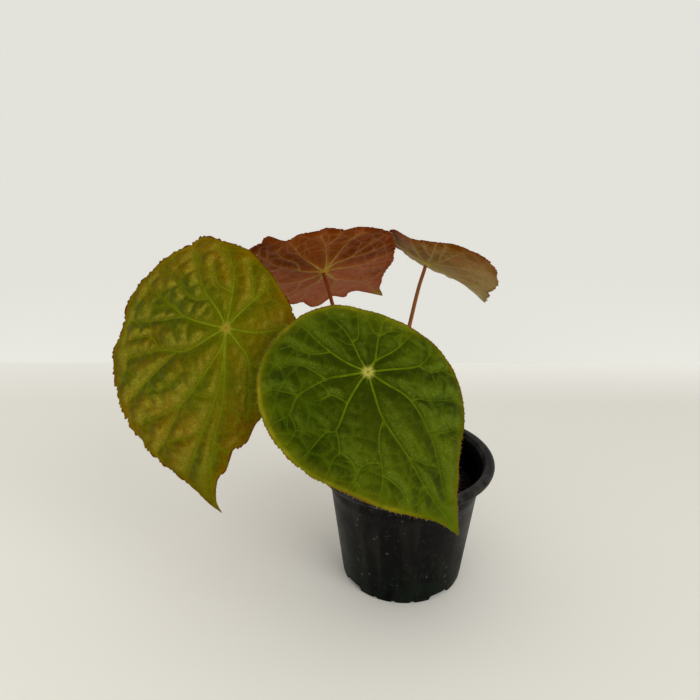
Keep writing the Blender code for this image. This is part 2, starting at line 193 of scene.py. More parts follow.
def makeLeafPaint():
    # panels between veins with painted shade and sheen on them, the vein net over them, then the margin, the
    # teeth's tips and the hub
    nodes, given, out = newGroup(
        "leafPaint",
        ["panel", "deep", "warm", "lowSheen", "shadedTone", "sheen", "grooveShadeAndTint", "point", "farLine", "line",
         "edge", "tip", "hub", "core"],
        {"lowSheenTop": 0.0, "lowSheenBottom": -0.1, "shadedToneShow": 0.0, "sheenShow": 0.0, "grooveShadeAndTintShow": 0.0,
         "litShow": 0.0, "dimShow": 0.0, "netShow": 0.3, "lineShow": 0.7, "edgeShow": 0.6},
        {"colour": "Color", "grain": "Float", "patches": "Float"})
    mask, noise, spread = nodes.mask, nodes.noise, nodes.spread
    broad, middle = noise(55.0), noise(260.0, 4.0, 0.6)
    small, fine = noise(640.0, 2.0, 0.6), noise(1500.0, 3.0, 0.6)
    mottle = spread(broad * 0.3 + middle * 0.24 + small * 0.26 + fine * 0.2, 0.42, 0.58)
    warmth = spread(noise(42.0, 2.0), 0.42, 0.62) * 0.85
    # height in the world, roughened: a sheen is painted towards the bottom of a blade, for light from below
    ragged = nodes.axis("Z") + (broad - 0.5) * 0.03
    patch = spread(noise(120.0, 2.0), 0.38, 0.62, 0.2) * spread(noise(400.0, 3.0, 0.6), 0.4, 0.6, 0.1, 1.1)
    uneven = spread(middle * 0.5 + fine * 0.5, 0.36, 0.62, 0.35)
    base = nodes.layers(
        given["panel"], (mottle, given["deep"]), (warmth, given["warm"]),
        (spread(ragged, given["lowSheenTop"], given["lowSheenBottom"]), given["lowSheen"]),
        # painted shade: a set tone near the stalk and on the side away from the light
        (mask("shadedTone") * given["shadedToneShow"], given["shadedTone"]),
        # painted sheen on the tops of the puffs, in patches
        (mask("puff") * patch * given["sheenShow"], given["sheen"]),
        # a band beside the veins: painted shade in the front blade's grooves, the veins' own tint elsewhere
        (mask("grooveShadeAndTint") * given["grooveShadeAndTintShow"], given["grooveShadeAndTint"]),
        # painted light and shade: the sheen colour on slopes that rise towards lean, the deep colour on the
        # others
        (mask("lit") * given["litShow"] * uneven, given["sheen"]),
        (mask("dim") * given["dimShow"] * uneven, given["deep"]))
    cells = nodes.cells(1150.0, "DISTANCE_TO_EDGE")
    # tiny pale freckles, and tiny painted glints where the fine noise is high, lighten the colour
    frecklesAndGlints = nodes.maths("MAXIMUM", spread(cells, 0.0, 0.24, 0.4, 0.0), spread(fine, 0.5, 0.7, 0.0, 0.9))
    base = nodes.mix(1.0, base, frecklesAndGlints * 0.9 + 0.84, "MULTIPLY")
    inLine = spread(nodes.maths("ABSOLUTE", mask("side")), 0.5, 1.35, 1.0, 0.0)
    inLine = inLine * mask("near") * given["lineShow"] * spread(middle, 0.38, 0.55, 0.6)
    fray = mask("edge") * spread(noise(48.0, 2.0), 0.36, 0.6, 0.4) * spread(middle, 0.3, 0.6, 0.5)
    base = nodes.layers(
        base, (mask("point"), given["point"]), (mask("net") * given["netShow"], given["farLine"]),
        (inLine, nodes.mix(mask("rays"), given["farLine"], given["line"])),
        (fray * given["edgeShow"], given["edge"]),
        (mask("tip") * spread(noise(130.0, 2.0), 0.42, 0.56, 0.3), given["tip"]),
        (mask("hub"), given["hub"]), (mask("core"), given["core"]))
    grain = cells * 0.5 + fine + nodes.cells(430.0, "SMOOTH_F1") * -2.2
    fill(out, {"colour": base, "grain": grain, "patches": mottle})


def makeSpeckle():
    # pale specks and broad smudges, for dust on plastic and pores on stalks
    nodes, given, out = newGroup("speckle", [], {"size": 900.0, "amount": 0.1, "smudge": 40.0},
                                 {"specks": "Float", "smudges": "Float"})
    dot = nodes.cells(given["size"], "F1")
    chosen = nodes.maths("LESS_THAN", nodes.noise(400.0, 0.0, at=dot.beside("Position")), given["amount"])
    smudges = nodes.spread(nodes.noise(given["smudge"], 5.0, 0.65, 0.6), 0.38, 0.66)
    fill(out, {"specks": chosen * nodes.spread(dot, 0.12, 0.3, 1.0, 0.0), "smudges": smudges})


makeLeafPaint()
makeSpeckle()


# Leaf shapes and colours, in millimetres and degrees. Each blade's frame is at its stalk: u runs to the
# tip, v across, and the rim is (angle from the tip, radius). Veins are lines of (u, v) points, and the
# main ones start at the stalk. facing, lift and turn aim a blade, and along, across, fold, twist and
# edgeWave bend it. quilt and cellPuff raise its panels and cells, most on the side that is open to light
# (a direction, from and to), where painted sheen also gathers and painted shade fades. lean is the way
# up the sides that are painted lit; the sides facing away are painted dim. rays is how far pale lines
# reach from the stalk.
anyLeaf = dict(
    sway=[(0, 0), (70, 0)],      # how far the blade swings aside, as (u, v)
    swells=[],                   # broad bulges, as (middle, reach, height)
    edgeFade=0.0, cellLight=0.3, toothPitch=2.6, shine=0.4)
redLeaf = dict(
    anyLeaf, slot="red_leaf", cellPuff=0.22, toothDepth=0.6, lobePitch=7.6, lobeDepth=0.9,
    litSide=(0.0, 1.0, -20, 20), lean=(0.3, 0.3),
    upper=dict(
        panel=(92, 86, 3), deep=(78, 78, 1), warm=(104, 80, 10), line=(112, 120, 24),
        farLine=(98, 104, 10), edge=(110, 76, 24), tip=(90, 36, 22), point=(96, 84, 8),
        hub=(162, 142, 62), core=(138, 112, 34), lineShow=0.7, netShow=0.35, edgeShow=0.7))
leaves = dict(
    front=dict(
        anyLeaf,
        slot="green_leaf", attach=(-18.3, -49.6, 122.9), facing=7.3, lift=37.7, turn=26.6, along=0.64,
        across=0.25, fold=0.0, twist=-0.37, edgeWave=0.5, quilt=1.1, cellSize=4.6, cellPuff=0.36,
        edgeFade=0.5, toothPitch=1.5, toothDepth=0.4, lobePitch=8.2, lobeDepth=0.5, rays=(6, 26),
        litSide=(0.5, 1.0, 4, 24), lean=(-0.33, 0.94), gloss=0.13,
        stalk=dict(foot=(-18.6, -1.6), arrive=0.22, colour=(118, 60, 28)),
        rim=[(0, 64.5), (4, 57), (8, 51.8), (20, 43.3), (40, 37.6), (60, 32.1), (90, 25.3), (120, 22.2),
        (150, 23), (180, 29), (210, 34), (240, 38.6), (270, 40.3), (300, 41.4), (320, 42.7), (340, 48.7),
        (352, 54.3), (357, 59), (360, 64.5)],
        mainVeins=[
            [(7, -2), (17, -4), (32, -3), (43, -3), (52, -2), (63, 0)],
            [(-7, -5), (-17, -9), (-26, -11), (-31, -15)],
            [(-3, -8), (-5, -14), (-5, -25), (-1, -31), (-1, -37)],
            [(2, -5), (6, -12), (12, -20), (11, -24), (14, -33), (15, -39)],
            [(6, 3), (16, 8), (30, 8), (41, 5), (50, 2)], [(3, 7), (7, 17), (5, 24)],
            [(-2, 4), (-2, 13), (-4, 21)], [(-2, 4), (-9, 10), (-14, 16)],
            [(-5, 0), (-15, 1), (-26, -1)]],
        branches=[
            [(17, -4), (22, -9), (33, -14), (38, -18), (41, -22)], [(29, -13), (27, -17), (28, -24)],
            [(33, -14), (40, -11), (44, -12), (48, -15)], [(43, -3), (45, -6), (50, -9)],
            [(32, -3), (36, 0), (41, 5)], [(-13, -8), (-16, -14), (-23, -19)],
            [(-5, -14), (-13, -18), (-16, -22), (-17, -27)], [(-5, -25), (-11, -31), (-13, -35)],
            [(-1, -31), (5, -32), (8, -37)], [(12, -20), (19, -23), (20, -26), (25, -33)],
            [(19, -23), (24, -21), (30, -23), (33, -28)], [(16, 8), (17, 11), (20, 15), (23, 22)],
            [(30, 8), (31, 12), (33, 18)], [(7, 17), (11, 20), (13, 26)],
            [(-12, 1), (-13, 4), (-20, 8), (-23, 9)], [(-9, 10), (-9, 14), (-8, 19)],
            [(6, -12), (1, -15), (0, -19)]],
        upper=dict(
            panel=(50, 67, 0), deep=(20, 33, 0), warm=(58, 70, 0), line=(90, 112, 4),
            farLine=(78, 97, 10), edge=(136, 131, 22), tip=(104, 62, 10), point=(66, 84, 0),
            hub=(168, 160, 72), core=(112, 98, 20), lineShow=0.88, netShow=0.3, edgeShow=0.85,
            # painted shade: the dark tones near the stalk and beside the sunk veins; sheen is a painted
            # sheen
            shadedTone=(24, 36, 0), shadedToneShow=0.6, grooveShadeAndTint=(26, 40, 0), grooveShadeAndTintShow=0.3, sheen=(84, 101, 24),
            sheenShow=0.5, litShow=0.58, dimShow=0.75),
        underside=dict(
            panel=(104, 62, 28), deep=(84, 52, 16), warm=(112, 88, 34), line=(136, 128, 56),
            farLine=(124, 96, 48), edge=(112, 84, 36), tip=(108, 50, 26), point=(112, 94, 34),
            hub=(160, 146, 80), core=(150, 134, 66), lineShow=0.8, netShow=0.2, edgeShow=0.6)),
    left=dict(
        anyLeaf,
        slot="olive_leaf", attach=(-71.0, -27.9, 131.2), facing=0.0, lift=26.9, turn=-2.0, along=0.35,
        across=0.5, fold=-0.08, twist=0.0, edgeWave=0.6, quilt=1.0, cellSize=4.8, cellPuff=0.7,
        cellLight=0.6, toothDepth=0.7, lobePitch=8.8, lobeDepth=1.15, rays=(6, 26),
        litSide=(0.0, -1.0, -6, 20), lean=(-0.35, -0.6), shine=0.34, gloss=0.16,
        stalk=dict(foot=(-22.6, -5.6), arrive=0.22, colour=(112, 54, 24)),
        rim=[(0, 69.5), (2, 62), (3.4, 57), (7, 53), (9, 47), (13, 45.5), (17, 43.8), (20, 40.2),
        (23.5, 37.7), (30, 35.7), (42, 32.7), (58, 29.4), (75, 27.3), (100, 26), (130, 25.5), (150, 27.7),
        (167, 31), (183, 33.5), (198, 37), (206, 35.8), (235, 37.7), (255, 40.5), (273, 41.6),
        (283, 45.5), (310, 49.9), (331, 53), (350, 58.3), (357, 64), (360, 69.5)],
        sway=[(0, 0), (25, -0.6), (42, -3.1), (57, -4.6), (65, -3.0), (70, 1.0)],
        mainVeins=[
            [(6, 0), (27, 0), (42, -3), (57, -4), (68, -1)], [(-6, -3), (-16, -10), (-28, -13)],
            [(-7, 1), (-20, 2), (-30, -1)], [(-1, -6), (-4, -16), (-10, -24), (-14, -30)],
            [(3, -5), (9, -15), (9, -25), (12, -37)], [(6, -1), (12, -4), (29, -16), (36, -30)],
            [(6, 0), (23, -2), (38, -7), (56, -13)], [(6, 5), (13, 9), (33, 9)],
            [(1, 7), (1, 13), (-1, 24)], [(-6, 5), (-16, 15)]],
        branches=[
            [(-4, -16), (-2, -28), (-2, -37)], [(10, -19), (20, -29), (28, -36)],
            [(29, -16), (43, -22), (50, -27)], [(-11, -7), (-11, -14), (-20, -22), (-22, -27)],
            [(-14, 1), (-17, -4), (-25, -6)], [(42, -3), (46, 1), (45, 5)], [(13, 9), (15, 15), (14, 21)],
            [(27, 0), (31, 5), (33, 9)], [(-11, 10), (-18, 9), (-25, 8)], [(9, -25), (4, -29), (5, -36)],
            [(23, -2), (26, -6), (25, -12)], [(38, -7), (41, -13), (43, -21)]],
        upper=dict(
            panel=(80, 77, 0), deep=(48, 58, 0), warm=(97, 66, 0), line=(112, 124, 18),
            farLine=(96, 106, 8), edge=(124, 100, 4), tip=(84, 22, 4), point=(80, 68, 0),
            hub=(136, 120, 38), core=(118, 98, 18), lineShow=0.78, netShow=0.3, edgeShow=0.7,
            # painted shade: the tone of the side away from the light; sheen is a painted sheen
            shadedTone=(94, 89, 0), shadedToneShow=0.5, grooveShadeAndTint=(76, 82, 0), grooveShadeAndTintShow=0.6, sheen=(132, 122, 34),
            sheenShow=0.42, litShow=0.6, dimShow=0.6),
        underside=dict(
            panel=(108, 56, 26), deep=(90, 42, 10), warm=(122, 72, 42), line=(146, 124, 62),
            farLine=(130, 92, 52), edge=(108, 60, 30), tip=(94, 38, 24), point=(112, 88, 34),
            hub=(160, 146, 80), core=(150, 134, 66), lineShow=0.8, netShow=0.2, edgeShow=0.5)),
    back=dict(
        redLeaf, attach=(-36.5, 26.7, 137.7), facing=197.7, lift=41.3, turn=-48.7, along=-0.2, across=0.5,
        fold=0.15, twist=0.0, edgeWave=0.8, quilt=0.7, cellSize=4.6, rays=(4, 17), gloss=0.14,
        stalk=dict(foot=(-14.6, 2.4), arrive=0.2, colour=(114, 44, 6)),
        rim=[(0, 49.5), (3, 36), (7, 30.8), (13, 29.6), (19, 31.8), (27, 28), (36, 31), (46, 34.4),
        (57, 30.5), (66, 31.8), (88, 28.9), (111, 29), (133, 32), (150, 35.4), (165, 38), (176, 37.6),
        (184, 39.1), (187, 33), (190, 30.4), (200, 30), (220, 28.3), (240, 28.5), (258, 32.5),
        (272, 34.6), (290, 34.1), (317, 33.4), (334, 33.1), (348, 36.8), (354, 40.6), (360, 49.5)],
        mainVeins=[
            [(9, 1), (15, -1), (24, -4), (33, -3), (48, 0)], [(-3, 2), (-9, 6), (-21, 10), (-33, 9)],
            [(-9, -1), (-18, -2), (-28, -5)], [(-4, -5), (-13, -12), (-20, -15)],
            [(-3, -9), (-7, -21), (-6, -27)], [(0, -7), (3, -13), (3, -22), (4, -31)],
            [(3, -4), (9, -9), (15, -16), (19, -26)], [(0, 4), (-2, 12), (-9, 22), (-16, 29)],
            [(5, 7), (5, 14), (6, 26)], [(9, 1), (17, 10), (22, 22)]],
        branches=[
            [(-9, 6), (-15, 3), (-23, 4), (-29, 2)], [(-13, -12), (-13, -18), (-15, -22)],
            [(3, -13), (8, -20), (11, -29)], [(9, -9), (17, -11), (23, -18)],
            [(24, -4), (27, -9), (29, -15)], [(-2, 12), (3, 19), (1, 27)],
            [(-16, 8), (-20, 16), (-28, 19)], [(17, 10), (23, 9), (27, 14)],
            [(5, 14), (10, 19), (13, 26)]],
        # its colours are raised above the underside's own as painted light, for light that shines through
        # the blade
        underside=dict(
            # painted sheen: the lower part of the blade is given a rosy sheen, from these heights down
            panel=(106, 46, 2), deep=(78, 26, 0), warm=(114, 54, 6), lowSheen=(148, 80, 52), lowSheenTop=0.146,
            lowSheenBottom=0.126, line=(172, 150, 58), farLine=(158, 102, 68), edge=(124, 46, 26),
            tip=(88, 30, 16), point=(128, 130, 16), hub=(156, 116, 40), core=(156, 132, 56), lineShow=0.8,
            netShow=0.3, edgeShow=0.4, grooveShadeAndTint=(128, 88, 24), grooveShadeAndTintShow=0.3, sheen=(148, 78, 46),
            sheenShow=0.45, litShow=0.3, dimShow=0.5)),
    right=dict(
        redLeaf, attach=(10.6, 38.0, 138.3), facing=127.5, lift=51.1, turn=11.8, along=-0.69, across=-0.146,
        fold=0.129, twist=0.49, edgeWave=0.4, quilt=0.6, cellSize=4.4,
        swells=[((28.4, -2.5), (24.8, 10.5), 3.57), ((52.7, -7.0), (9, 9), -2.53)], rays=(3, 17),
        gloss=0.12, stalk=dict(foot=(-9.6, 6.5), arrive=0.05, colour=(128, 74, 36)),
        rim=[(0, 55.8), (3, 50.8), (8, 49.3), (16, 42.3), (28, 36.8), (46, 28.9), (76, 17.1), (106, 17.9),
        (136, 19.9), (166, 26.9), (191, 23.4), (211, 26.1), (226, 30.3), (241, 35.4), (256, 37.9),
        (271, 36.1), (286, 33.4), (298, 30.9), (308, 32.5), (321, 34.6), (334, 39.7), (341, 43.7),
        (348, 49.2), (354, 55.6), (360, 55.8)],
        mainVeins=[
            [(14, -1), (28, 1), (41, 0), (53, 0)], [(-10, -7), (-22, -14)], [(-7, -10), (-16, -22)],
            [(-5, -13), (-5, -33)], [(4, -12), (12, -30)], [(10, -10), (22, -22)], [(12, 5), (28, 11)],
            [(4, 8), (8, 16)], [(-6, 5), (-14, 12)], [(-12, -1), (-24, -2)]],
        branches=[
            [(14, -1), (24, -8), (33, -14)], [(28, 1), (34, -4), (40, -8)],
            [(4, -12), (1, -22), (4, -31)], [(10, -10), (12, -18), (17, -27)],
            [(-7, -10), (-13, -13), (-20, -18)], [(28, 1), (33, 5), (36, 9)],
            [(12, 5), (16, 12), (17, 17)], [(-10, -7), (-17, -7), (-24, -8)]],
        # its colours are raised above the underside's own as painted light, for light that shines through
        # the blade
        underside=dict(
            # painted sheen: the lower part of the blade is given a paler sheen, from these heights down
            panel=(118, 54, 2), deep=(88, 58, 0), warm=(128, 46, 12), lowSheen=(156, 136, 82), lowSheenTop=0.15,
            lowSheenBottom=0.128, line=(158, 150, 56), farLine=(160, 132, 80), edge=(128, 66, 32),
            tip=(92, 34, 20), point=(128, 128, 10), hub=(172, 146, 58), core=(150, 128, 50), lineShow=0.8,
            netShow=0.22, edgeShow=0.4, grooveShadeAndTint=(136, 112, 44), grooveShadeAndTintShow=0.3, sheen=(136, 88, 44),
            sheenShow=0.25, litShow=0.35, dimShow=0.5)),
)

# What all blades share, in millimetres
bladeMake = {
    "gridSteps": 206,                # cells across a blade's grid, an even number
    "thickness": 0.46, "marginThickness": 0.2, "thinning": 5,
    "mainWidth": (0.8, 0.4),         # half width of a vein's groove at its start and its end
    "branchWidth": (0.5, 0.34),
    "mainLine": (0.43, 0.2),         # half width of its pale line
    "branchLine": (0.27, 0.15),
    "cellStretch": 1.9,              # the net's cells are this much wider across than along a vein
    "netReach": 76, "netWidth": 0.32,
    "panelReach": 2.8,               # how far from a vein its panel has risen
    "groove": 0.12, "ridge": 0.42,   # how deep a vein lies in the upper side, and stands out below
    "twigs": 70, "twigReach": (4.0, 9.0), "twigLine": (0.2, 0.1),
    "bossHeight": 0.8, "bossReach": (0.7, 3.4),
    "underShine": 0.5, "underGloss": 0.06, "grain": (0.2, 0.15), "tint": (1.0, 1.0, 0.08, 1.0),
    "seed": 31,
}


def unit(vectors):
    return vectors / np.linalg.norm(vectors, axis=-1, keepdims=True)


def curveThrough(points, x):
    # smooth curve through (x, y) points, as the blades' rims and sways use
    px, py = np.array(points, float).T
    slope = np.empty_like(py)
    slope[1:-1] = (py[2:] - py[:-2]) / (px[2:] - px[:-2])
    slope[[0, -1]] = (py[[1, -1]] - py[[0, -2]]) / (px[[1, -1]] - px[[0, -2]])
    i = np.clip(np.searchsorted(px, x) - 1, 0, len(px) - 2)
    span = px[i + 1] - px[i]
    t = np.clip((x - px[i]) / span, 0, 1)
    return ((2 * t ** 3 - 3 * t ** 2 + 1) * py[i] + (t ** 3 - 2 * t ** 2 + t) * span * slope[i]
            + (3 * t ** 2 - 2 * t ** 3) * py[i + 1] + (t ** 3 - t ** 2) * span * slope[i + 1])


def smoothStep(value, low, high):
    t = np.clip((value - low) / (high - low), 0, 1)
    return t * t * (3 - 2 * t)


def fall(value, low, high):
    # 1 up to low and 0 from high on
    return 1 - smoothStep(value, low, high)


def smoothLine(points, pieces=5):
    # a rounded line through points of any dimension
    p = np.array([points[0], *points, points[-1]], float)
    t = np.linspace(0, 1, pieces, endpoint=False)[:, None]
    parts = [0.5 * (2 * b + (c - a) * t + (2 * a - 5 * b + 4 * c - d) * t ** 2
                    + (3 * b - a - 3 * c + d) * t ** 3) for a, b, c, d in zip(p, p[1:], p[2:], p[3:])]
    return np.vstack(parts + [p[-1:]])


def leafFrame(leaf):
    facing, lift, turn = (math.radians(leaf[key]) for key in ("facing", "lift", "turn"))
    level = math.cos(lift)
    face = Vector((math.sin(facing) * level, -math.cos(facing) * level, math.sin(lift)))
    downhill = (Vector((0, 0, -1)) + face * face.z).normalized()
    tipward = downhill * math.cos(turn) + face.cross(downhill) * math.sin(turn)
    return np.array((tipward, face.cross(tipward), face))


def discGrid(steps):
    # a square grid bent into a disc: each point's share of the radius and of the turn
    line = np.linspace(-1, 1, steps + 1)
    a, b = np.meshgrid(line, line, indexing="ij")
    turn = np.where(abs(a) >= abs(b), b / np.where(a == 0, 1, a) / 8 + 0.5 * (a < 0),
                    0.25 - a / np.where(b == 0, 1, b) / 8 + 0.5 * (b < 0))
    return np.maximum(abs(a), abs(b)), turn % 1


def gridFaces(rows, columns):
    # a grid's faces, and its border in order
    index = np.arange(rows * columns).reshape(rows, columns)
    quads = np.stack([index[:-1, :-1], index[1:, :-1], index[1:, 1:], index[:-1, 1:]], -1)
    border = np.concatenate([index[:-1, 0], index[-1, :-1], index[:0:-1, -1], index[0, :0:-1]])
    return quads.reshape(-1, 4), border


def sheetFaces(rows, columns):
    # two grids as the sides of a sheet, with a band along the border
    quads, loop = gridFaces(rows, columns)
    count, after = rows * columns, np.roll(loop, -1)
    band = np.stack([after, loop, loop + count, after + count], -1)
    return np.vstack([quads, quads[:, ::-1] + count, band]), loop


def tubeFaces(rings, sides):
    # rings of points joined in a row, closed by two points that follow them
    faces, last = [], (rings - 1) * sides
    for k in range(sides):
        b = (k + 1) % sides
        faces += [(start + k, start + b, start + b + sides, start + k + sides)
                  for start in range(0, last, sides)]
        faces += [(b, k, rings * sides), (last + k, last + b, rings * sides + 1)]
    return faces


def joinParts(parts):
    # several (points, faces) as one
    points, faces, start = [], [], 0
    for some, theirs in parts:
        points.append(some)
        faces += [tuple(int(i) + start for i in face) for face in theirs]
        start += len(some)
    return np.vstack(points), faces


def addMesh(name, points, faces, materials, slots=None, masks=None, smooth=True):
    # points in metres; masks are numbers kept at each point
    mesh = bpy.data.meshes.new(name)
    mesh.from_pydata(points.tolist(), [], [list(face) for face in faces])
    for material in materials:
        mesh.materials.append(material)
    if slots is not None:
        mesh.polygons.foreach_set("material_index", np.asarray(slots, np.int32))
    for label, values in (masks or {}).items():
        attribute = mesh.attributes.new(label, "FLOAT", "POINT")
        attribute.data.foreach_set("value", np.asarray(values, np.float32))
    if smooth:
        mesh.shade_smooth()
    mesh.update()
    return addObject(name, mesh)


def settle(obj, slot, *nodes):
    # one body holds the whole plant; the piece stands for the nodes it is named with
    if nodes:
        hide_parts(*nodes)
    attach(obj, "root")


def rimPoints(leaf, angles):
    radii, turns = curveThrough(leaf["rim"], angles), np.radians(angles)
    return radii * np.cos(turns), radii * np.sin(turns)


def toRim(leaf, u, v, samples=900):
    # how far each point is from the rim
    x, y = rimPoints(leaf, np.linspace(0, 360, samples, endpoint=False))
    y = y + curveThrough(leaf["sway"], np.maximum(x, 0))
    nearest = np.full_like(u, 1e6)
    for a, b in zip(x, y):
        np.minimum(nearest, (u - a) ** 2 + (v - b) ** 2, out=nearest)
    return np.sqrt(nearest)


def saw(phase, steep):
    # 0 in a notch, 1 at a point that leans back to where the phase began
    share = phase % 1
    return np.where(share < steep, share / steep, (1 - share) / (1 - steep))


def teeth(leaf, along, total):
    # small teeth and, wider, one lobe for each vein's end; both lean to the tip
    fromTip = np.minimum(along, total - along)
    firstHalf = along < total / 2
    wander = 0.3 * np.sin(fromTip * 0.9) + 0.4 * np.sin(fromTip * 0.23)
    small = saw(fromTip / leaf["toothPitch"] + wander, 0.3)
    strong = 0.55 + 0.45 * np.sin(fromTip * 0.61 + np.where(firstHalf, 0.0, 2.0))
    lobe = saw(fromTip / leaf["lobePitch"] + 0.6 * wander + np.where(firstHalf, 0.0, 0.45), 0.14)
    return small, 1 - (1 - lobe) * strong


def lineField(kinds, u, v, far=4.0):
    # for lines of each kind (points, groove's widths or none, line's widths, weight): how deep the groove
    # is, how far the nearest line is, which side of it the point lies on, in its half widths, its strength
    fields = [np.full_like(u, value) for value in (0.0, 1e3, 1e3, far, 0.0)]
    for lines, grooves, widths, weight in kinds:
        reach = 12.0 if grooves else 2.0
        for line in map(smoothLine, lines):
            (left, low), (right, high) = line.min(0) - reach, line.max(0) + reach
            around = np.nonzero((u > left) & (u < right) & (v > low) & (v < high))
            x, y = u[around], v[around]
            show, away, best, side, strength = (field[around] for field in fields)
            for i, (a, b) in enumerate(zip(line, line[1:])):
                d = b - a
                t = np.clip(((x - a[0]) * d[0] + (y - a[1]) * d[1]) / max(d @ d, 1e-9), 0, 1)
                distance = np.hypot(x - a[0] - t * d[0], y - a[1] - t * d[1])
                share = (i + t) / (len(line) - 1)
                if grooves:
                    depth = weight * np.exp(-(distance / np.interp(share, (0, 1), grooves)) ** 2)
                    np.maximum(show, depth * (1 - 0.25 * share), out=show)
                    np.minimum(away, distance / weight, out=away)
                halves = distance / np.interp(share, (0, 1), widths)
                closer = halves < best
                turn = np.where((x - a[0]) * d[1] > (y - a[1]) * d[0], 1.0, -1.0)
                power = np.where(halves < far, (0.6 + 0.4 * weight) * (1 - 0.4 * share), 0)
                best = np.where(closer, halves, best)
                side = np.where(closer, turn * np.minimum(halves, far), side)
                strength = np.where(closer, power, strength)
            for field, values in zip(fields, (show, away, best, side, strength)):
                field[around] = values
    show, away, _, side, strength = fields
    return show, away, side, strength


def twigLines(veins, branches, rng):
    # fine veins that leave the outer half of the others and bend outwards
    twigs = []
    while len(twigs) < bladeMake["twigs"]:
        lines = branches if rng.random() < 0.55 else veins
        source = smoothLine(lines[rng.integers(len(lines))])
        i = rng.integers(len(source) // 2, len(source))
        ahead = source[i] - source[max(i - 3, 0)]
        ahead /= max(np.hypot(*ahead), 1e-6)
        lean = rng.choice((-1, 1)) * rng.uniform(0.5, 1.1)
        length = rng.uniform(*bladeMake["twigReach"])
        points = [source[i]]
        for step, turn in ((0.4, lean), (0.35, lean * 0.6), (0.25, lean * 0.9)):
            c, s = math.cos(turn), math.sin(turn)
            heading = np.array((ahead[0] * c - ahead[1] * s, ahead[0] * s + ahead[1] * c))
            points.append(points[-1] + heading * length * step)
        twigs.append(points)
    return twigs


def cellField(size, u, v, rng):
    # cells of the fine net, wider across than along: the distance from each point to its cell's border
    first, second = np.full_like(u, 1e3), np.full_like(u, 1e3)
    stretch = bladeMake["cellStretch"]
    for ring in np.arange(size * 0.8, bladeMake["netReach"], size):
        count = max(5, round(math.tau * ring / size / stretch))
        turns = (np.arange(count) + rng.uniform(-0.36, 0.36, count) + rng.random()) / count * math.tau
        for turn, radius in zip(turns, ring + rng.uniform(-0.32, 0.32, count) * size):
            c, s = math.cos(turn), math.sin(turn)
            distance = np.hypot(u * c + v * s - radius, (v * c - u * s) / stretch)
            second = np.minimum(second, np.maximum(first, distance))
            first = np.minimum(first, distance)
    return (second - first) / 2


def slopeTowards(height, u, v, towards):
    # how steeply a softened height rises towards a direction of the blade's plane
    for _ in range(3):
        height = (height + sum(np.roll(height, step, way) for way in (0, 1) for step in (1, -1))) / 5
    (hi, hj), (ui, uj), (vi, vj) = np.gradient(height), np.gradient(u), np.gradient(v)
    area = ui * vj - uj * vi
    area = np.where(np.abs(area) < 1e-4, 1e3, area)
    return ((hi * vj - hj * vi) * towards[0] + (hj * ui - hi * uj) * towards[1]) / area


def bladeOutline(leaf, share, turn):
    # where the grid's points lie in the blade's plane, with teeth and lobes cut into its margin
    angles = np.linspace(0, 360, 1441)
    steps = np.hypot(*np.diff(rimPoints(leaf, angles)))
    lengths = np.concatenate([[0], np.cumsum(steps)])
    along = turn * lengths[-1]
    warped = np.interp(along, lengths, angles)
    angle = np.radians(360 * turn + (warped - 360 * turn) * share)
    tooth, lobe = teeth(leaf, along, lengths[-1])
    rim = curveThrough(leaf["rim"], warped)
    steep = np.gradient(curveThrough(leaf["rim"], angles), np.radians(angles))
    facingOut = 1 / (1 + (np.interp(warped, angles, steep) / rim) ** 2)
    cut = (leaf["toothDepth"] * (1 - tooth) + leaf["lobeDepth"] * (0.55 - lobe)) * facingOut
    radius = rim * share - cut * smoothStep(share, 0.9, 1) * smoothStep(rim, 0, 50)
    u = radius * np.cos(angle)
    return u, radius * np.sin(angle) + curveThrough(leaf["sway"], np.maximum(u, 0)), angle, tooth


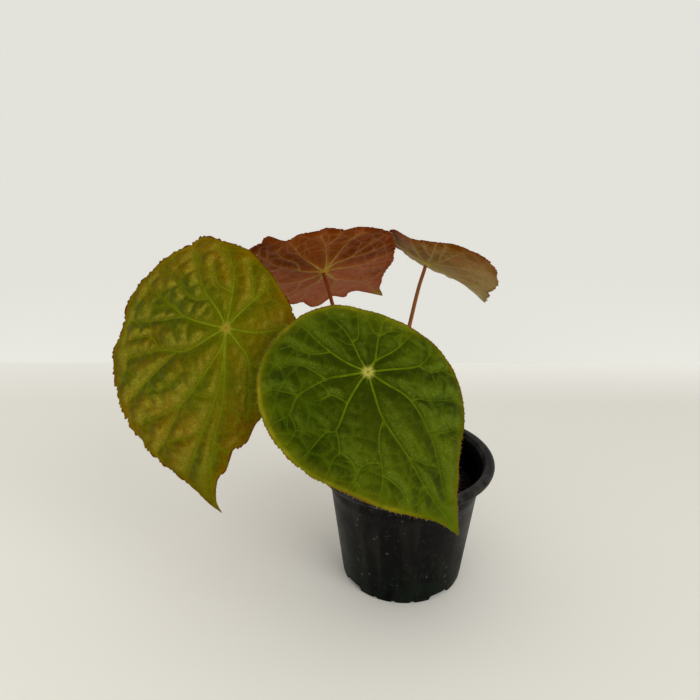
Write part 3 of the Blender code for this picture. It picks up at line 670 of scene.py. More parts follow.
def bladeFields(leaf, rng):
    # the blade's middle surface on its grid, with the masks that colour it
    share, turn = discGrid(bladeMake["gridSteps"])
    u, v, angle, tooth = bladeOutline(leaf, share, turn)
    veins = [[(0, 0), *line] for line in leaf["mainVeins"]]
    twigs = twigLines(veins, leaf["branches"], rng)
    show, away, side, near = lineField(
        [(veins, bladeMake["mainWidth"], bladeMake["mainLine"], 1.0),
         (leaf["branches"], bladeMake["branchWidth"], bladeMake["branchLine"], 0.7),
         (twigs, None, bladeMake["twigLine"], 0.3)], u, v)
    cells = cellField(leaf["cellSize"], u, v, rng)
    inward, hubAway = toRim(leaf, u, v), np.hypot(u, v)
    panel = (1 - np.exp(-(away / bladeMake["panelReach"]) ** 2)) * smoothStep(inward, -1.0, 5.0)
    cellRise = (1 - np.exp(-(cells / (0.19 * leaf["cellSize"])) ** 2)) * smoothStep(away, 0.2, 2.0)
    # 1 on the blade's side open to light and 0 where its neighbours shade it: steers painted shade and sheen
    litSide = smoothStep(leaf["litSide"][0] * u + leaf["litSide"][1] * v, *leaf["litSide"][2:])
    uneven = 0.75 + 0.35 * np.sin(u / 5.1 + 1) * np.sin(v / 6.3 + 0.5)
    # the middle surface: folded, twisted, bowed, wavy at its edge, and puffed between its veins
    form = leaf["fold"] * (np.sqrt(v * v + 16) - 4) + leaf["twist"] * u * v / 100
    form -= (leaf["along"] * u * u + leaf["across"] * v * v) / 200
    form += leaf["edgeWave"] * share ** 4 * np.sin(9 * angle + 1) * np.cos(4 * angle)
    form += leaf["quilt"] * panel * (0.45 + 0.55 * litSide)
    form += leaf["cellPuff"] * uneven * (0.35 + 0.65 * litSide) * cellRise * smoothStep(inward, 0.0, 3.0)
    for (a, b), (reachA, reachB), height in leaf["swells"]:
        form += height * np.exp(-((u - a) / reachA) ** 2 - ((v - b) / reachB) ** 2)
        form -= height * math.exp(-(a / reachA) ** 2 - (b / reachB) ** 2)
    ragged = hubAway * (1 + 0.2 * np.sin(5 * angle + 1) + 0.16 * np.sin(9 * angle))
    tipShare = u / leaf["rim"][0][1]
    margin = 0.35 * fall(inward, 1.0, 6.0) + 0.65 * fall(inward, 0.7, 2.3)
    # how steeply the folds and cells rise towards lean, for the painted lit and dim sides
    folds = 1 - np.exp(-(away / 4.2) ** 2) + leaf["cellLight"] * cellRise * smoothStep(away, 1.0, 3.0)
    slope = slopeTowards(folds, u, v, leaf["lean"]) * (3 + 2 * litSide)
    slope *= smoothStep(share, 0.05, 0.25) * smoothStep(inward, 0.5, 3)
    masks = {
        "side": side, "near": near, "rays": fall(hubAway, *leaf["rays"]),
        "net": np.exp(-(cells / bladeMake["netWidth"]) ** 2) * smoothStep(share, 0.15, 0.7),
        "edge": margin * (1 - 0.7 * smoothStep(tipShare, 0.75, 0.95)) * (1 - leaf["edgeFade"] * litSide),
        "tip": (0.5 + 0.5 * tooth) * fall(inward, 0.2, 0.8),
        "point": 0.9 * smoothStep(tipShare, 0.7, 0.97),
        "hub": np.clip(fall(ragged, 0.55, 1.4) + 0.8 * show * fall(hubAway, 1.2, 3.2), 0, 1),
        "core": fall(ragged, 0.15, 0.9),
        # painted shade near the stalk, fading towards the rim and on the side open to light
        "shadedTone": fall(share, 0.25, 0.95) * (1 - 0.85 * litSide),
        # a band beside the veins, for painted shade in grooves and for the veins' own tint
        "grooveShadeAndTint": np.exp(-(away / 1.6) ** 2),
        # where painted sheen lies: the tops of the puffs, most on the side open to light
        "puff": cellRise * panel * smoothStep(share, 0.1, 0.4) * (0.3 + 0.7 * litSide),
        "lit": np.clip(slope, 0, 1), "dim": np.clip(-slope, 0, 1),
    }
    return np.stack([u, v, form], -1), masks, show, inward, hubAway


def bladeSides(leaf, rng):
    # upper and lower side in the leaf's frame: veins lie sunk above and stand out below
    points, masks, show, inward, hubAway = bladeFields(leaf, rng)
    normal = unit(np.cross(np.gradient(points, axis=0), np.gradient(points, axis=1)))
    margin, middle = bladeMake["marginThickness"], bladeMake["thickness"]
    half = 0.5 * (margin + (middle - margin) * smoothStep(inward, 0, bladeMake["thinning"]))
    toHub = 1 - smoothStep(hubAway, 0, 30) * 0.6
    sunk = bladeMake["groove"] * show - 0.1 * masks["hub"]
    ridge = (bladeMake["ridge"] * show * toHub + 0.05 * masks["net"]) * smoothStep(inward, 0, 3)
    boss = bladeMake["bossHeight"] * fall(hubAway, *bladeMake["bossReach"]) ** 2
    sides = points + normal * (half - sunk)[..., None], points - normal * (half + ridge + boss)[..., None]
    place = np.vstack([side.reshape(-1, 3) for side in sides]) @ leafFrame(leaf)
    return (place + leaf["attach"]) * mm, masks


def leafMaterial(name, colours, roughness, gloss, grain):
    skin = Skin(name, roughness, Specular_Tint=bladeMake["tint"])
    painted = skin.group("leafPaint", **colours)
    skin.feed(
        Specular_IOR_Level=skin.spread(skin.mask("edge"), 0.0, 0.4, gloss, 0.05 * gloss),
        Roughness=skin.spread(painted.beside("patches"), 0.0, 1.0, roughness - 0.06, roughness + 0.08))
    return skin.finish(painted, painted.beside("grain"), 0.8, grain * mm)


def makeBlade(side, leaf):
    rng = np.random.default_rng(bladeMake["seed"] + len(side))
    points, masks = bladeSides(leaf, rng)
    steps = bladeMake["gridSteps"]
    faces, loop = sheetFaces(steps + 1, steps + 1)
    slots = np.arange(len(faces)) >= steps * steps
    both = {label: np.tile(values.ravel(), 2) for label, values in masks.items()}
    topGrain, underGrain = bladeMake["grain"]
    top = leafMaterial(f"{side}LeafTop", leaf["upper"], leaf["shine"], leaf["gloss"], topGrain)
    under = leafMaterial(f"{side}LeafUnder", leaf["underside"], bladeMake["underShine"],
                         bladeMake["underGloss"], underGrain)
    blade = addMesh(f"{side}_blade", points, faces.tolist(), [top, under], slots, both)
    settle(blade, leaf["slot"], f"blade_{side}")
    onLine = (np.abs(masks["side"]) < 1.5) * masks["near"]
    makeLeafHairs(side, leaf, *np.split(points, 2), onLine.ravel(), loop, rng)


# Fine hairs: a fringe at each blade's margin, and short ones standing on its veins
hairMake = {"fringe": 400, "onVeins": 380, "fringeLength": (0.3, 1.1), "veinLength": (0.3, 0.6),
            "stray": (0.45, 0.35), "below": 0.45, "radius": 0.03, "bend": 0.3,
            "colour": (214, 200, 160), "dark": (168, 132, 96)}


def hairMaterial():
    skin = Skin("leafHair", 0.55)
    tone = skin.spread(skin.noise(700.0, 1.0), 0.35, 0.65)
    return skin.finish(skin.mix(tone, hairMake["colour"], hairMake["dark"]))


def addHairs(name, slot, bases, directions, lengths, rng):
    # slim three-sided hairs that taper and bend; bases in metres, lengths in millimetres
    count, lengths, limit = len(bases), lengths[:, None] * mm, hairMake["bend"]
    directions = unit(directions)
    sideways = unit(np.cross(directions, rng.normal(size=(count, 3))))
    other = np.cross(directions, sideways)
    bend = sideways * rng.uniform(-limit, limit, (count, 1))
    bend = bend + other * rng.uniform(-limit, limit, (count, 1))
    rings = []
    for share, width in ((0.0, 1.0), (0.5, 0.7)):
        middle = bases + (directions * share + bend * share ** 2) * lengths
        for a in (0, math.tau / 3, math.tau * 2 / 3):
            outward = sideways * math.cos(a) + other * math.sin(a)
            rings.append(middle + outward * hairMake["radius"] * mm * width)
    points = np.stack(rings + [bases + (directions + bend) * lengths], 1).reshape(-1, 3)
    one = [(2, 1, 0)]
    for a, b in ((0, 1), (1, 2), (2, 0)):
        one += [(a, b, 3 + b, 3 + a), (3 + a, 3 + b, 6)]
    faces = [[start + i for i in face] for start in range(0, 7 * count, 7) for face in one]
    settle(addMesh(name, points, faces, [hairSkin]), slot)


def makeLeafHairs(side, leaf, upper, lower, vein, loop, rng):
    face = leafFrame(leaf)[2]
    at = loop[rng.integers(0, len(loop), hairMake["fringe"])]
    bases = (upper[at] + lower[at]) / 2
    outward = bases - upper.mean(0)
    outward = unit(outward - np.outer(outward @ face, face))
    stray, sway = hairMake["stray"]
    fringe = outward + rng.normal(0, stray, outward.shape)
    chosen = rng.choice(len(upper), hairMake["onVeins"], p=vein / vein.sum())
    under = rng.random(len(chosen))[:, None] < hairMake["below"]
    standing = np.where(under, -face, face) + rng.normal(0, sway, (len(chosen), 3))
    roots = np.where(under, lower[chosen], upper[chosen])
    lengths = np.concatenate([rng.uniform(*hairMake["fringeLength"], len(at)),
                              rng.uniform(*hairMake["veinLength"], len(chosen))])
    addHairs(f"{side}_leaf_hairs", leaf["slot"], np.vstack([bases, roots]),
             np.vstack([fringe, standing]), lengths, rng)


hairSkin = hairMaterial()
for side, leaf in leaves.items():
    makeBlade(side, leaf)
    print(side, "blade done")


# Tubes with rings of changing size, for stalks, the rhizome and fibres
def tubeRings(path, radii, sides, wobble=None):
    # points and faces of a closed tube along a path; wobble(share, turns) scales each ring's radius
    path = np.asarray(path, float)
    ahead = unit(np.gradient(path, axis=0))
    side = np.cross(ahead[0], (0.3, 0.9, 0.1))
    turns = np.arange(sides) / sides * math.tau
    rings = []
    for i, (middle, forward, radius) in enumerate(zip(path, ahead, radii)):
        side = unit(side - forward * (side @ forward))
        up = np.cross(forward, side)
        size = radius if wobble is None else radius * wobble(i / (len(path) - 1), turns)[:, None]
        rings.append(middle + (np.outer(np.cos(turns), side) + np.outer(np.sin(turns), up)) * size)
    return np.vstack(rings + [path[:1], path[-1:]]), tubeFaces(len(path), sides)


# Rhizome: its middle line and thickness, with rings and papery scales
rhizomeMake = {
    "path": [(-2, 15, 43.0), (-5, 11, 44.6), (-9, 7, 45.4), (-14, 3, 46.0),
             (-18, -1, 46.2), (-22, -5, 46.0), (-25, -8, 45.2), (-27, -10, 44.0)],
    "radii": [1.8, 3.4, 4.3, 4.0, 4.6, 4.1, 3.3, 1.7],
    "sides": 36, "nodes": 9, "blunt": (-0.4, 0.3),     # its ends round off between these points
    "scales": 14, "scaleLength": (3.2, 5.6), "scaleWidth": (2.2, 3.4), "scaleThickness": 0.12,
    "scaleCurl": 0.15, "seed": 12,
}


def rhizomeLine(pieces):
    # its middle line, the number of the point that each place lies at, and the radius there
    line, last = smoothLine(rhizomeMake["path"], pieces), len(rhizomeMake["radii"]) - 1
    stations = np.linspace(0, last, len(line))
    return line, stations, np.interp(stations, range(last + 1), rhizomeMake["radii"])


def rhizomeMaterial():
    skin = Skin("rhizomeBark", 0.72, Specular_IOR_Level=0.25)
    fine = skin.noise(900.0, 4.0, 0.65)
    colour = skin.layers(
        (92, 58, 34), (skin.spread(skin.noise(160.0, 4.0, 0.6), 0.38, 0.62), (78, 80, 36)),
        (skin.spread(fine, 0.5, 0.75, 0.0, 0.7), (44, 28, 20)),
        (skin.group("speckle", size=1400.0, amount=0.42, smudge=90.0) * 0.5, (170, 138, 104)))
    return skin.finish(colour, fine, 0.6, 0.3 * mm)


def makeRhizome():
    line, stations, radii = rhizomeLine(16)
    ends = smoothStep(stations, *rhizomeMake["blunt"]) * smoothStep(stations[::-1], *rhizomeMake["blunt"])

    def wobble(share, turns):
        node = share * rhizomeMake["nodes"] + 0.06 * np.sin(2 * turns)
        ridge = np.exp(-((node % 1 - 0.5) / 0.13) ** 2)
        places = [Vector((share * 14, math.cos(t) * 1.2, math.sin(t) * 1.2)) for t in turns]
        return 0.93 + 0.09 * ridge + 0.1 * np.array([lumps.fractal(at, 0.7, 2.0, 4) for at in places])

    points, faces = tubeRings(line, radii * np.sqrt(ends), rhizomeMake["sides"], wobble)
    rhizome = addMesh("creeping_rhizome", points * mm, faces, [rhizomeMaterial()])
    settle(rhizome, "rhizome_bark", "rhizome")


def scaleSheet(root, up, out, length, width):
    # a papery pointed scale that wraps forward: closed thin sheet, sizes in millimetres
    rows, columns = 9, 7
    t, s = np.meshgrid(np.linspace(0, 1, rows), np.linspace(-1, 1, columns), indexing="ij")
    half = width / 2 * (1 - t ** 1.6) * (1 + 0.5 * t)
    depth = rhizomeMake["scaleCurl"] * t ** 2 * length - 0.35 * width * s * s * (1 - t)
    sheet = root + np.stack([t * length, s * half, depth], -1) @ np.array((up, np.cross(up, out), out))
    lift = out * rhizomeMake["scaleThickness"] / 2
    return np.vstack([sheet + lift, sheet - lift]).reshape(-1, 3), sheetFaces(rows, columns)[0]


def makeScales():
    rng = np.random.default_rng(rhizomeMake["seed"])
    line, _, radii = rhizomeLine(16)
    parts = []
    for number in range(rhizomeMake["scales"]):
        i = int((number + 0.5) / rhizomeMake["scales"] * (len(line) - 6)) + 3
        ahead = unit(line[i + 1] - line[i - 1])
        lean = rng.uniform(-1.0, 1.0)
        out = np.array((0, 0, 1)) * math.cos(lean) + np.cross(ahead, (0, 0, 1)) * math.sin(lean)
        root = line[i] + out * radii[i] * 0.9
        up = unit(ahead * 0.8 + out * rng.uniform(0.15, 0.6))
        out = unit(np.cross(np.cross(up, out), up))
        sizes = rng.uniform(*rhizomeMake["scaleLength"]), rng.uniform(*rhizomeMake["scaleWidth"])
        parts.append(scaleSheet(root, up, out, *sizes))
    skin = Skin("paperyScale", 0.7)
    tone = skin.spread(skin.noise(420.0, 4.0, 0.6, 0.4), 0.35, 0.65)
    material = skin.finish(skin.mix(tone, (150, 104, 66), (196, 158, 118)))
    points, faces = joinParts(parts)
    settle(addMesh("rhizome_scales", points * mm, faces, [material]), "rhizome_bark")


# Stalks: red-brown, a little swollen at the foot, with pale pores and sparse hairs
stalkMake = {
    "footRadius": 1.4, "topRadius": 0.8, "rings": 70, "sides": 22, "rise": 0.35, "upright": 0.6,
    "footSwell": (0.35, 0.045), "topSwell": (0.12, 0.025),     # height, and its share of the length
    "bladeGap": 0.7, "sunk": 1.4, "sway": 0.12, "hairs": 130, "hairLength": (0.4, 1.1), "seed": 77,
}


def stalkMaterial(side, colour):
    skin = Skin(f"{side}Stalk", 0.5, Specular_IOR_Level=0.14, Specular_Tint=(1.0, 0.75, 0.4, 1.0))
    streaks = skin.noise(1300.0, at=skin.drawnOut(0.06))
    colour = skin.layers(
        (112, 70, 34), (skin.spread(skin.axis("Z"), 0.045, 0.1), colour),
        (skin.spread(streaks, 0.45, 0.75, 0.0, 0.35), (142, 88, 44)),
        (skin.group("speckle", size=1500.0, amount=0.44, smudge=120.0) * 0.3, (180, 132, 90)))
    return skin.finish(colour, streaks, 0.25, 0.1 * mm)


def stalkPath(leaf):
    # the same line as the solid stalk: up from the rhizome, and square to the blade at its top
    face = leafFrame(leaf)[2]
    line, _, radii = rhizomeLine(8)
    x, y = leaf["stalk"]["foot"]
    away = np.hypot(line[:, 0] - x, line[:, 1] - y)
    i = int(away.argmin())
    foot = np.array((x, y, line[i, 2] + math.sqrt(max(radii[i] ** 2 - away[i] ** 2, 0)) + 0.5))
    top = np.array(leaf["attach"]) - face * stalkMake["bladeGap"]
    reach = np.linalg.norm(top - foot)
    up = np.array((0, 0, stalkMake["upright"])) + (top - foot) / reach * (1 - stalkMake["upright"])
    rise = foot + up * reach * stalkMake["rise"]
    meet = top - face * reach * leaf["stalk"]["arrive"]
    t = np.linspace(0, 1, stalkMake["rings"])[:, None]
    line = (1 - t) ** 3 * foot + 3 * (1 - t) ** 2 * t * rise + 3 * (1 - t) * t ** 2 * meet + t ** 3 * top
    return np.vstack([foot - (0, 0, stalkMake["sunk"]), line, top + face * 0.3])


def makeStalk(side, leaf, rng):
    path = stalkPath(leaf)
    share = np.linspace(0, 1, len(path))
    radii = stalkMake["topRadius"] + (stalkMake["footRadius"] - stalkMake["topRadius"]) * (1 - share) ** 2
    for toEnd, (height, reach) in ((share, stalkMake["footSwell"]), (1 - share, stalkMake["topSwell"])):
        radii += height * np.exp(-(toEnd / reach) ** 2)
    turns = np.outer(share[2:-2] * 23, (1.0, 1.3, 0.0)) + (0.4, 1.9, 0.0)
    path[2:-2] += stalkMake["sway"] * np.sin(turns)

    def wobble(along, turns):
        return 1 + 0.03 * np.sin(3 * turns + 5 * along) + 0.015 * np.sin(5 * turns + 40 * along)

    points, faces = tubeRings(path, radii, stalkMake["sides"], wobble)
    stalk = addMesh(f"{side}_stalk", points * mm, faces, [stalkMaterial(side, leaf["stalk"]["colour"])])
    settle(stalk, "red_stalk", f"petiole_{side}")
    at = rng.integers(3, len(path) - 4, stalkMake["hairs"])
    outward = rng.normal(size=(len(at), 3))
    ahead = path[at + 1] - path[at]
    along = unit(ahead)
    outward = unit(outward - along * np.sum(outward * along, axis=1, keepdims=True))
    between = path[at] + ahead * rng.random((len(at), 1))
    bases = (between + outward * radii[at][:, None] * 0.95) * mm
    lengths = rng.uniform(*stalkMake["hairLength"], len(at))
    addHairs(f"{side}_stalk_hairs", "red_stalk", bases, outward, lengths, rng)


makeRhizome()
makeScales()
stalkDraws = np.random.default_rng(stalkMake["seed"])
for side, leaf in leaves.items():
    makeStalk(side, leaf, stalkDraws)
print("rhizome and stalks done")


# Pot: turned from one profile, then its foot is notched
potMake = {
    "rimRadius": 40.0, "height": 60.0, "baseRadius": 27.8, "shoulderRadius": 33.1, "shoulderHeight": 44.4,
    "collarRadius": 34.0, "collarHeight": 47.8, "lipHeight": 3.8, "mouthRadius": 35.7,
    "wall": 1.2, "floor": 1.6, "hollow": 0.35, "rounds": 216, "sharpFrom": 38,
    "sectors": 4, "footTurn": -101.0, "slitAngle": 17.5, "notchDepth": 3.4,
    "wideNotch": (10.5, 2.3, 1.4), "slitNotch": (2.2, 1.1, 0.8),     # width, height, corners' radius
}


def wallRadius(height):
    p = potMake
    return p["baseRadius"] + (p["shoulderRadius"] - p["baseRadius"]) * height / p["shoulderHeight"]


def arc(middle, radius, start, end, count):
    turns = np.radians(np.linspace(start, end, count))
    return [(middle[0] + radius * math.cos(a), middle[1] + radius * math.sin(a)) for a in turns]


def potProfile():
    # from the middle of the underside, up the outside, over the lip and down the inside
    p = potMake
    base, shoulder, collar, wall = p["baseRadius"], p["shoulderRadius"], p["collarRadius"], p["wall"]
    half, under, inner = p["lipHeight"] / 2, p["height"] - p["lipHeight"], collar - wall
    outside = [(0, p["hollow"]), (base - 4.2, p["hollow"]), (base - 3.9, 0)]
    outside += arc((base - 0.6, 0.6), 0.6, -90, 0, 5)
    outside += [(wallRadius(z), z) for z in np.linspace(2, p["shoulderHeight"] - 0.3, 16)]
    outside += [(shoulder + 0.12, p["shoulderHeight"] + 0.3),
                (collar - 0.12, p["collarHeight"] - 0.3), (collar, p["collarHeight"] + 0.2)]
    outside += [(collar + 0.02 * (z - 47), z) for z in np.linspace(49, under - 0.9, 4)]
    outside += arc((collar + 0.9, under - 0.9), 0.75, 180, 90, 5)
    lip = arc((p["rimRadius"] - half, p["height"] - half), half, -75, 100, 18)
    mouth = arc((p["mouthRadius"] + 1.0, p["height"] - 1.0), 1.0, 110, 190, 7)
    inside = [(inner + 1.2, 56.4), (inner + 0.3, 55.3), (inner, 54.2), (inner, 51), (inner, 47.6)]
    inside += [(shoulder - wall, 45.2)]
    inside += [(wallRadius(z) - wall, z) for z in np.linspace(40, 4, 8)]
    inside += [(wallRadius(3) - wall, p["floor"] + 1.2), (base - wall - 1.2, p["floor"]), (0, p["floor"])]
    return outside + lip + mouth + inside


def lathe(profile, rounds):
    # profile points run from the axis back to the axis
    turns = np.arange(rounds) / rounds * math.tau
    radii, heights = np.array(profile[1:-1]).T
    x, y = np.outer(radii, np.cos(turns)), np.outer(radii, np.sin(turns))
    rings = np.stack([x, y, np.repeat(heights[:, None], rounds, 1)], -1).reshape(-1, 3)
    ends = [(0, 0, height) for _, height in (profile[0], profile[-1])]
    return np.vstack([rings, ends]), tubeFaces(len(radii), rounds)


def notchBlock(angle, width, height, corner):
    # a block with a rounded top that reaches through the foot's edge
    near, far = potMake["baseRadius"] - potMake["notchDepth"], potMake["baseRadius"] + 2.0
    side = [(-width / 2, -1.0)] + arc((-width / 2 + corner, height - corner), corner, 180, 90, 6)
    side += [(-x, z) for x, z in reversed(side)]
    count = len(side)
    points = [(reach, x, z) for reach in (near, far) for x, z in side]
    faces = [tuple(range(count)), tuple(range(2 * count - 1, count - 1, -1))]
    faces += [((k + 1) % count, k, k + count, (k + 1) % count + count) for k in range(count)]
    return np.array(points) @ np.array(Matrix.Rotation(angle, 3, "Z")).T, faces


def cutAway(obj, parts):
    # takes closed blocks out of a piece, and leaves no modifier or block behind
    points, faces = joinParts(parts)
    cutter = addMesh("cutter", points * mm, faces, [], smooth=False)
    boolean = obj.modifiers.new("notches", "BOOLEAN")
    boolean.operation = "DIFFERENCE"
    boolean.object = cutter
    boolean.solver = "EXACT"
    cut = bpy.data.meshes.new_from_object(obj.evaluated_get(bpy.context.evaluated_depsgraph_get()))
    obj.modifiers.clear()
    obj.data = cut
    bpy.data.objects.remove(cutter, do_unlink=True)


def potMaterial():
    skin = Skin("blackPlastic", 0.45)
    spread = skin.spread
    dust = skin.group("speckle", size=420.0, amount=0.34, smudge=38.0)
    grit = skin.group("speckle", size=1100.0, amount=0.33, smudge=90.0)
    smudges, height = dust.beside("smudges"), skin.axis("Z")
    drips = skin.noise(150.0, at=skin.drawnOut(0.12))
    scuffs = spread(skin.noise(620.0, 4.0, 0.7), 0.55, 0.75, 0.0, 0.5) * smudges
    algae = spread(height, 0.004, 0.026, 1.0, 0.0) * grit.beside("smudges") * 0.8
    underLip = spread(height, 0.05, 0.0555) * spread(drips, 0.42, 0.6, 0.0, 0.6)
    flat = skin.add("VectorMath", {0: skin.spot, 1: (1, 1, 0)}, operation="MULTIPLY")
    radius = skin.add("VectorMath", {0: flat}, "Value", operation="LENGTH")
    outward = skin.spot.beside("Normal")
    facing = skin.add("VectorMath", {0: flat, 1: outward}, "Value", operation="DOT_PRODUCT")
    # the inner wall is kept plain black, free of dust and specks, with little gloss: painted shade inside
    # the mouth
    inside = skin.maths("LESS_THAN", facing, 0.0) * spread(radius, 0.0346, 0.0356, 1.0, 0.0)
    specks = skin.maths("ADD", dust, grit, use_clamp=True) * 0.25
    colour = skin.layers(
        (0, 0, 0), (smudges * 0.5, (6, 6, 5)), (spread(drips, 0.48, 0.66, 0.0, 0.8), (28, 27, 23)),
        (scuffs, (52, 51, 46)), (algae, (12, 24, 15)), (underLip, (50, 48, 43)),
        (specks, (120, 118, 108)), (inside, (1, 1, 1)))
    gloss = spread(height, 0.0575, 0.059, 0.08, 0.13) * spread(inside, 0.0, 1.0, 1.0, 0.1)
    skin.feed(Specular_IOR_Level=gloss * spread(height, 0.0, 0.03, 0.45, 1.0),
              Roughness=spread(smudges, 0.0, 1.0, 0.34, 0.52))
    return skin.finish(colour, skin.noise(2200.0, 2.0), 0.12, 0.1 * mm)


def makePot():
    p = potMake
    points, faces = lathe(potProfile(), p["rounds"])
    pot = addMesh("nursery_pot", points * mm, faces, [potMaterial()])
    blocks = []
    for sector in range(p["sectors"]):
        middle = math.radians(p["footTurn"] + 360 / p["sectors"] * sector)
        blocks.append(notchBlock(middle + math.pi / p["sectors"], *p["wideNotch"]))
        for step in (-1, 0, 1):
            blocks.append(notchBlock(middle + step * math.radians(p["slitAngle"]), *p["slitNotch"]))
    cutAway(pot, blocks)
    pot.data.shade_smooth()
    pot.data.set_sharp_from_angle(angle=math.radians(p["sharpFrom"]))
    settle(pot, "black_plastic", "pot")


# Potting mix: a lumpy surface with crumbs, bark chips and fibres
mixMake = {
    "level": 44.0, "gap": 0.3, "steps": 110, "ripple": 0.7, "rough": 0.55,
    "crumbs": (420, 0.35, 1.25, 0.8), "chips": (46, 1.2, 2.6, 0.28),     # count, sizes and flatness
    "fibres": 70, "fibreLength": (3, 8), "fibreRadius": (0.08, 0.17),
    "clear": 4.6, "reach": 30.8,     # how far they keep from the rhizome's line, and how far out they lie
    "seed": 5,
}


def mixHeight(x, y):
    broad = math.sin(0.21 * x + 0.9) * math.cos(0.17 * y - 0.4)
    broad += 0.5 * math.sin(0.55 * x - 0.4 * y) * math.sin(0.47 * y + 1.3)
    rough = lumps.fractal(Vector((x * 0.35, y * 0.35, 4.0)), 0.6, 2.1, 5)
    return mixMake["level"] + mixMake["ripple"] * broad + mixMake["rough"] * rough


def peatMaterial(name, dark, light, pale):
    skin = Skin(name, 0.92, Specular_IOR_Level=0.15)
    fine = skin.noise(1200.0, 5.0, 0.7)
    broad = skin.spread(skin.noise(260.0, 4.0, 0.65), 0.36, 0.66)
    colour = skin.layers(dark, (broad, light), (skin.spread(fine, 0.58, 0.75, 0.0, 0.6), pale))
    return skin.finish(colour, fine, 0.8, 0.5 * mm)


def makeMix(peat):
    steps, inset, low = mixMake["steps"], potMake["wall"] + mixMake["gap"], potMake["floor"] + mixMake["gap"]
    share, turn = discGrid(steps)
    edge = wallRadius(mixMake["level"]) - inset
    x, y = edge * share * np.cos(turn * math.tau), edge * share * np.sin(turn * math.tau)
    z = np.array([mixHeight(a, b) for a, b in zip(x.ravel(), y.ravel())]).reshape(x.shape)
    z = z + (mixMake["level"] - z) * smoothStep(share, 0.94, 1.0)
    top = np.stack([x, y, z], -1).reshape(-1, 3)
    faces, loop = gridFaces(steps + 1, steps + 1)
    faces = faces.tolist()
    walls = [(34.0, wallRadius(34) - inset), (20.0, wallRadius(20) - inset),
             (low + 1.2, wallRadius(3) - inset), (low, potMake["baseRadius"] - inset - 1.3)]
    rings = [top[loop] * (r / edge, r / edge, 0) + (0, 0, h) for h, r in walls]
    points = np.vstack([top] + rings + [[(0, 0, low)]])
    above, start = loop, len(top)
    for _ in walls:
        below = np.arange(len(loop)) + start
        faces += np.stack([np.roll(above, -1), above, below, np.roll(below, -1)], -1).tolist()
        above, start = below, start + len(loop)
    faces += [(int(b), int(a), len(points) - 1) for a, b in zip(above, np.roll(above, -1))]
    settle(addMesh("potting_soil", points * mm, faces, [peat]), "peat", "potting_mix")


def lumpShape(rng, size, flat, rows=6, columns=8):
    # a rough pebble from a small sphere of rings
    stretch = np.array((rng.uniform(0.7, 1.4), rng.uniform(0.6, 1.1), flat * rng.uniform(0.7, 1.1)))
    turns = np.arange(columns) / columns * math.tau
    rings = [(math.sin(a) * math.cos(t), math.sin(a) * math.sin(t), -math.cos(a))
             for a in math.pi * np.arange(1, rows) / rows for t in turns]
    points = np.array([(0, 0, -1), *rings, (0, 0, 1)])
    points *= 1 + rng.uniform(-0.22, 0.22, (len(points), 1))
    points = np.vstack([points[1:-1], points[[0, -1]]])
    turn = Matrix.Rotation(rng.uniform(0, math.tau), 3, "Z") @ Matrix.Rotation(rng.normal(0, 0.3), 3, "X")
    return points * stretch * size @ np.array(turn).T, tubeFaces(rows - 1, columns)


def onMix(rng, room):
    # a place on the mix's surface that the rhizome leaves free
    line, reach = smoothLine(rhizomeMake["path"], 4), mixMake["reach"]
    while True:
        x, y = rng.uniform(-31, 31, 2)
        beside = np.hypot(line[:, 0] - x, line[:, 1] - y).min()
        if math.hypot(x, y) < reach - room and beside > mixMake["clear"]:
            return x, y


def fibreTube(rng):
    x, y = onMix(rng, 4)
    heading, length = rng.uniform(0, math.tau), rng.uniform(*mixMake["fibreLength"])
    path = []
    for step in np.linspace(-0.5, 0.5, 8):
        px = x + step * length * math.cos(heading) + 0.5 * math.sin(step * 6 + heading)
        py = y + step * length * math.sin(heading) + 0.5 * math.cos(step * 5 + heading)
        path.append((px, py, mixHeight(px, py) + 0.18 + 0.35 * (0.25 - step * step) * rng.random()))
    return tubeRings(path, np.full(8, rng.uniform(*mixMake["fibreRadius"])), 5)


def makeCrumbs(peat):
    rng = np.random.default_rng(mixMake["seed"])
    parts, owners = [], []
    for kind, (count, low, high, flat) in enumerate((mixMake["crumbs"], mixMake["chips"])):
        for _ in range(count):
            size = low + (high - low) * rng.random() ** 2
            points, faces = lumpShape(rng, size, flat)
            x, y = onMix(rng, size)
            parts.append((points + (x, y, mixHeight(x, y) + 0.25 * size), faces))
            owners += [kind] * len(faces)
    for _ in range(mixMake["fibres"]):
        parts.append(fibreTube(rng))
        owners += [2] * len(parts[-1][1])
    points, faces = joinParts(parts)
    bark = peatMaterial("barkChip", (24, 18, 13), (38, 28, 20), (56, 42, 30))
    fibre = peatMaterial("rootFibre", (40, 31, 22), (56, 43, 30), (74, 60, 44))
    settle(addMesh("soil_crumbs", points * mm, faces, [peat, bark, fibre], owners), "peat")


makePot()
# the peat is near black: its own dark colour, darkened further as painted shade inside the pot
peat = peatMaterial("darkPeatAndShade", (8, 6, 5), (17, 13, 10), (32, 25, 19))
makeMix(peat)
makeCrumbs(peat)
print("pot and mix done")


# Floor, light and world
studio = {
    "floorColour": (239, 237, 228), "floorEnd": (254, 254, 247), "floorReach": 3.0,
    "fadeStart": 0.170, "fadeEnd": 0.242,     # the floor fades into the wall between these depths
    "floorSideLight": (1.04, 0.93),               # painted light: what multiplies its colour at the left and right, lighter at the left
    "wallColour": (227, 226, 219), "wallFoot": (228, 227, 219), "wallSide": (238, 237, 228),
    "room": (0.70, 0.74),                     # how bright it is behind the camera, and opposite it
    "roomSides": (1.0, 1.08),                 # what multiplies that at either side
    "roomColour": (1.0, 0.985, 0.95, 1),
    "band": 0.75, "bandReach": 0.38,          # a bright band low behind the camera, and its height
    "shade": 0.65, "shadeFoot": (0.28, 0.42), "shadeTop": (0.8, 0.95),    # a darker part above the band
    "lights": {                               # place, aim and size in metres, and power
        "window": ((0.7, -0.9, 0.8), (-0.02, 0, 0.08), (0.8, 0.8), 7.2),
        "lamp": ((-0.75, -1.0, 0.36), (-0.05, 0, 0.1), (1.0, 0.7), 3.0)},
}


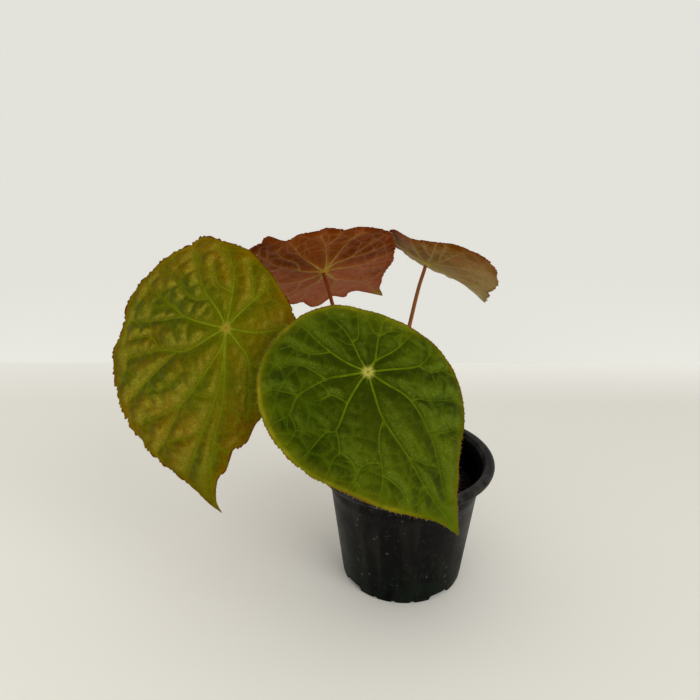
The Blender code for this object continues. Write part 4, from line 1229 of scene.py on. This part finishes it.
def makeFloor():
    skin = Skin("paleTable", 0.8, Specular_IOR_Level=0.1)
    # painted light: the floor lighter at the left and darker at the right
    across = skin.spread(skin.axis("X"), -0.2, 0.2, *studio["floorSideLight"])
    fade = skin.spread(skin.axis("Y"), studio["fadeStart"], studio["fadeEnd"])
    colour = skin.mix(1.0, studio["floorColour"], across, "MULTIPLY")
    material = skin.finish(skin.mix(fade, colour, studio["floorEnd"]))
    reach, back = studio["floorReach"], studio["fadeEnd"]
    points = np.array([(-reach, -reach, 0), (reach, -reach, 0), (reach, back, 0), (-reach, back, 0)])
    floor = addMesh("floor", points, [(0, 1, 2, 3)], [material])


def addLight(name, place, aim, size, power):
    light = bpy.data.lights.new(name, "AREA")
    light.shape = "RECTANGLE"
    light.size, light.size_y = size
    light.energy = power
    lamp = addObject(name, light)
    lamp.location = place
    lamp.rotation_euler = (Vector(aim) - Vector(place)).to_track_quat("-Z", "Y").to_euler()


def makeWorld():
    world = bpy.data.worlds.new("paleRoom")
    bpy.context.scene.world = world
    world.use_nodes = True
    nodes = Nodes(world.node_tree)
    spread, direction = nodes.spread, nodes.add("TexCoord", out="Generated")
    x, y, z = (nodes.axis(name, direction) for name in "XYZ")
    level = spread(y, -0.7, 0.5, *studio["room"]) * spread(x, -0.8, 0.8, *studio["roomSides"])
    band = spread(z, 0.0, studio["bandReach"], studio["band"], 0.0) * spread(y, -0.9, -0.1, 1.0, 0.0)
    dark = spread(z, *studio["shadeFoot"]) * spread(z, *studio["shadeTop"], 1.0, 0.0)
    dark = dark * spread(y, -0.5, -0.2, studio["shade"], 0.0)
    level = level * nodes.maths("SUBTRACT", 1.0, dark) + band
    room = nodes.mix(1.0, studio["roomColour"], level, "MULTIPLY")
    aside = spread(nodes.maths("ABSOLUTE", x), 0.15, 0.42)
    foot = nodes.mix(aside, studio["wallFoot"], studio["wallSide"])
    wall = nodes.mix(spread(z, -0.41, -0.26), foot, studio["wallColour"])
    seen = nodes.add("LightPath", out="Is Camera Ray")
    fill(world.node_tree.nodes["Background"], {"Color": nodes.mix(seen, room, wall), "Strength": 1.0})


makeFloor()
makeWorld()
for name, values in studio["lights"].items():
    addLight(name, *values)
bpy.context.scene.view_settings.view_transform = "Standard"
print("room done")
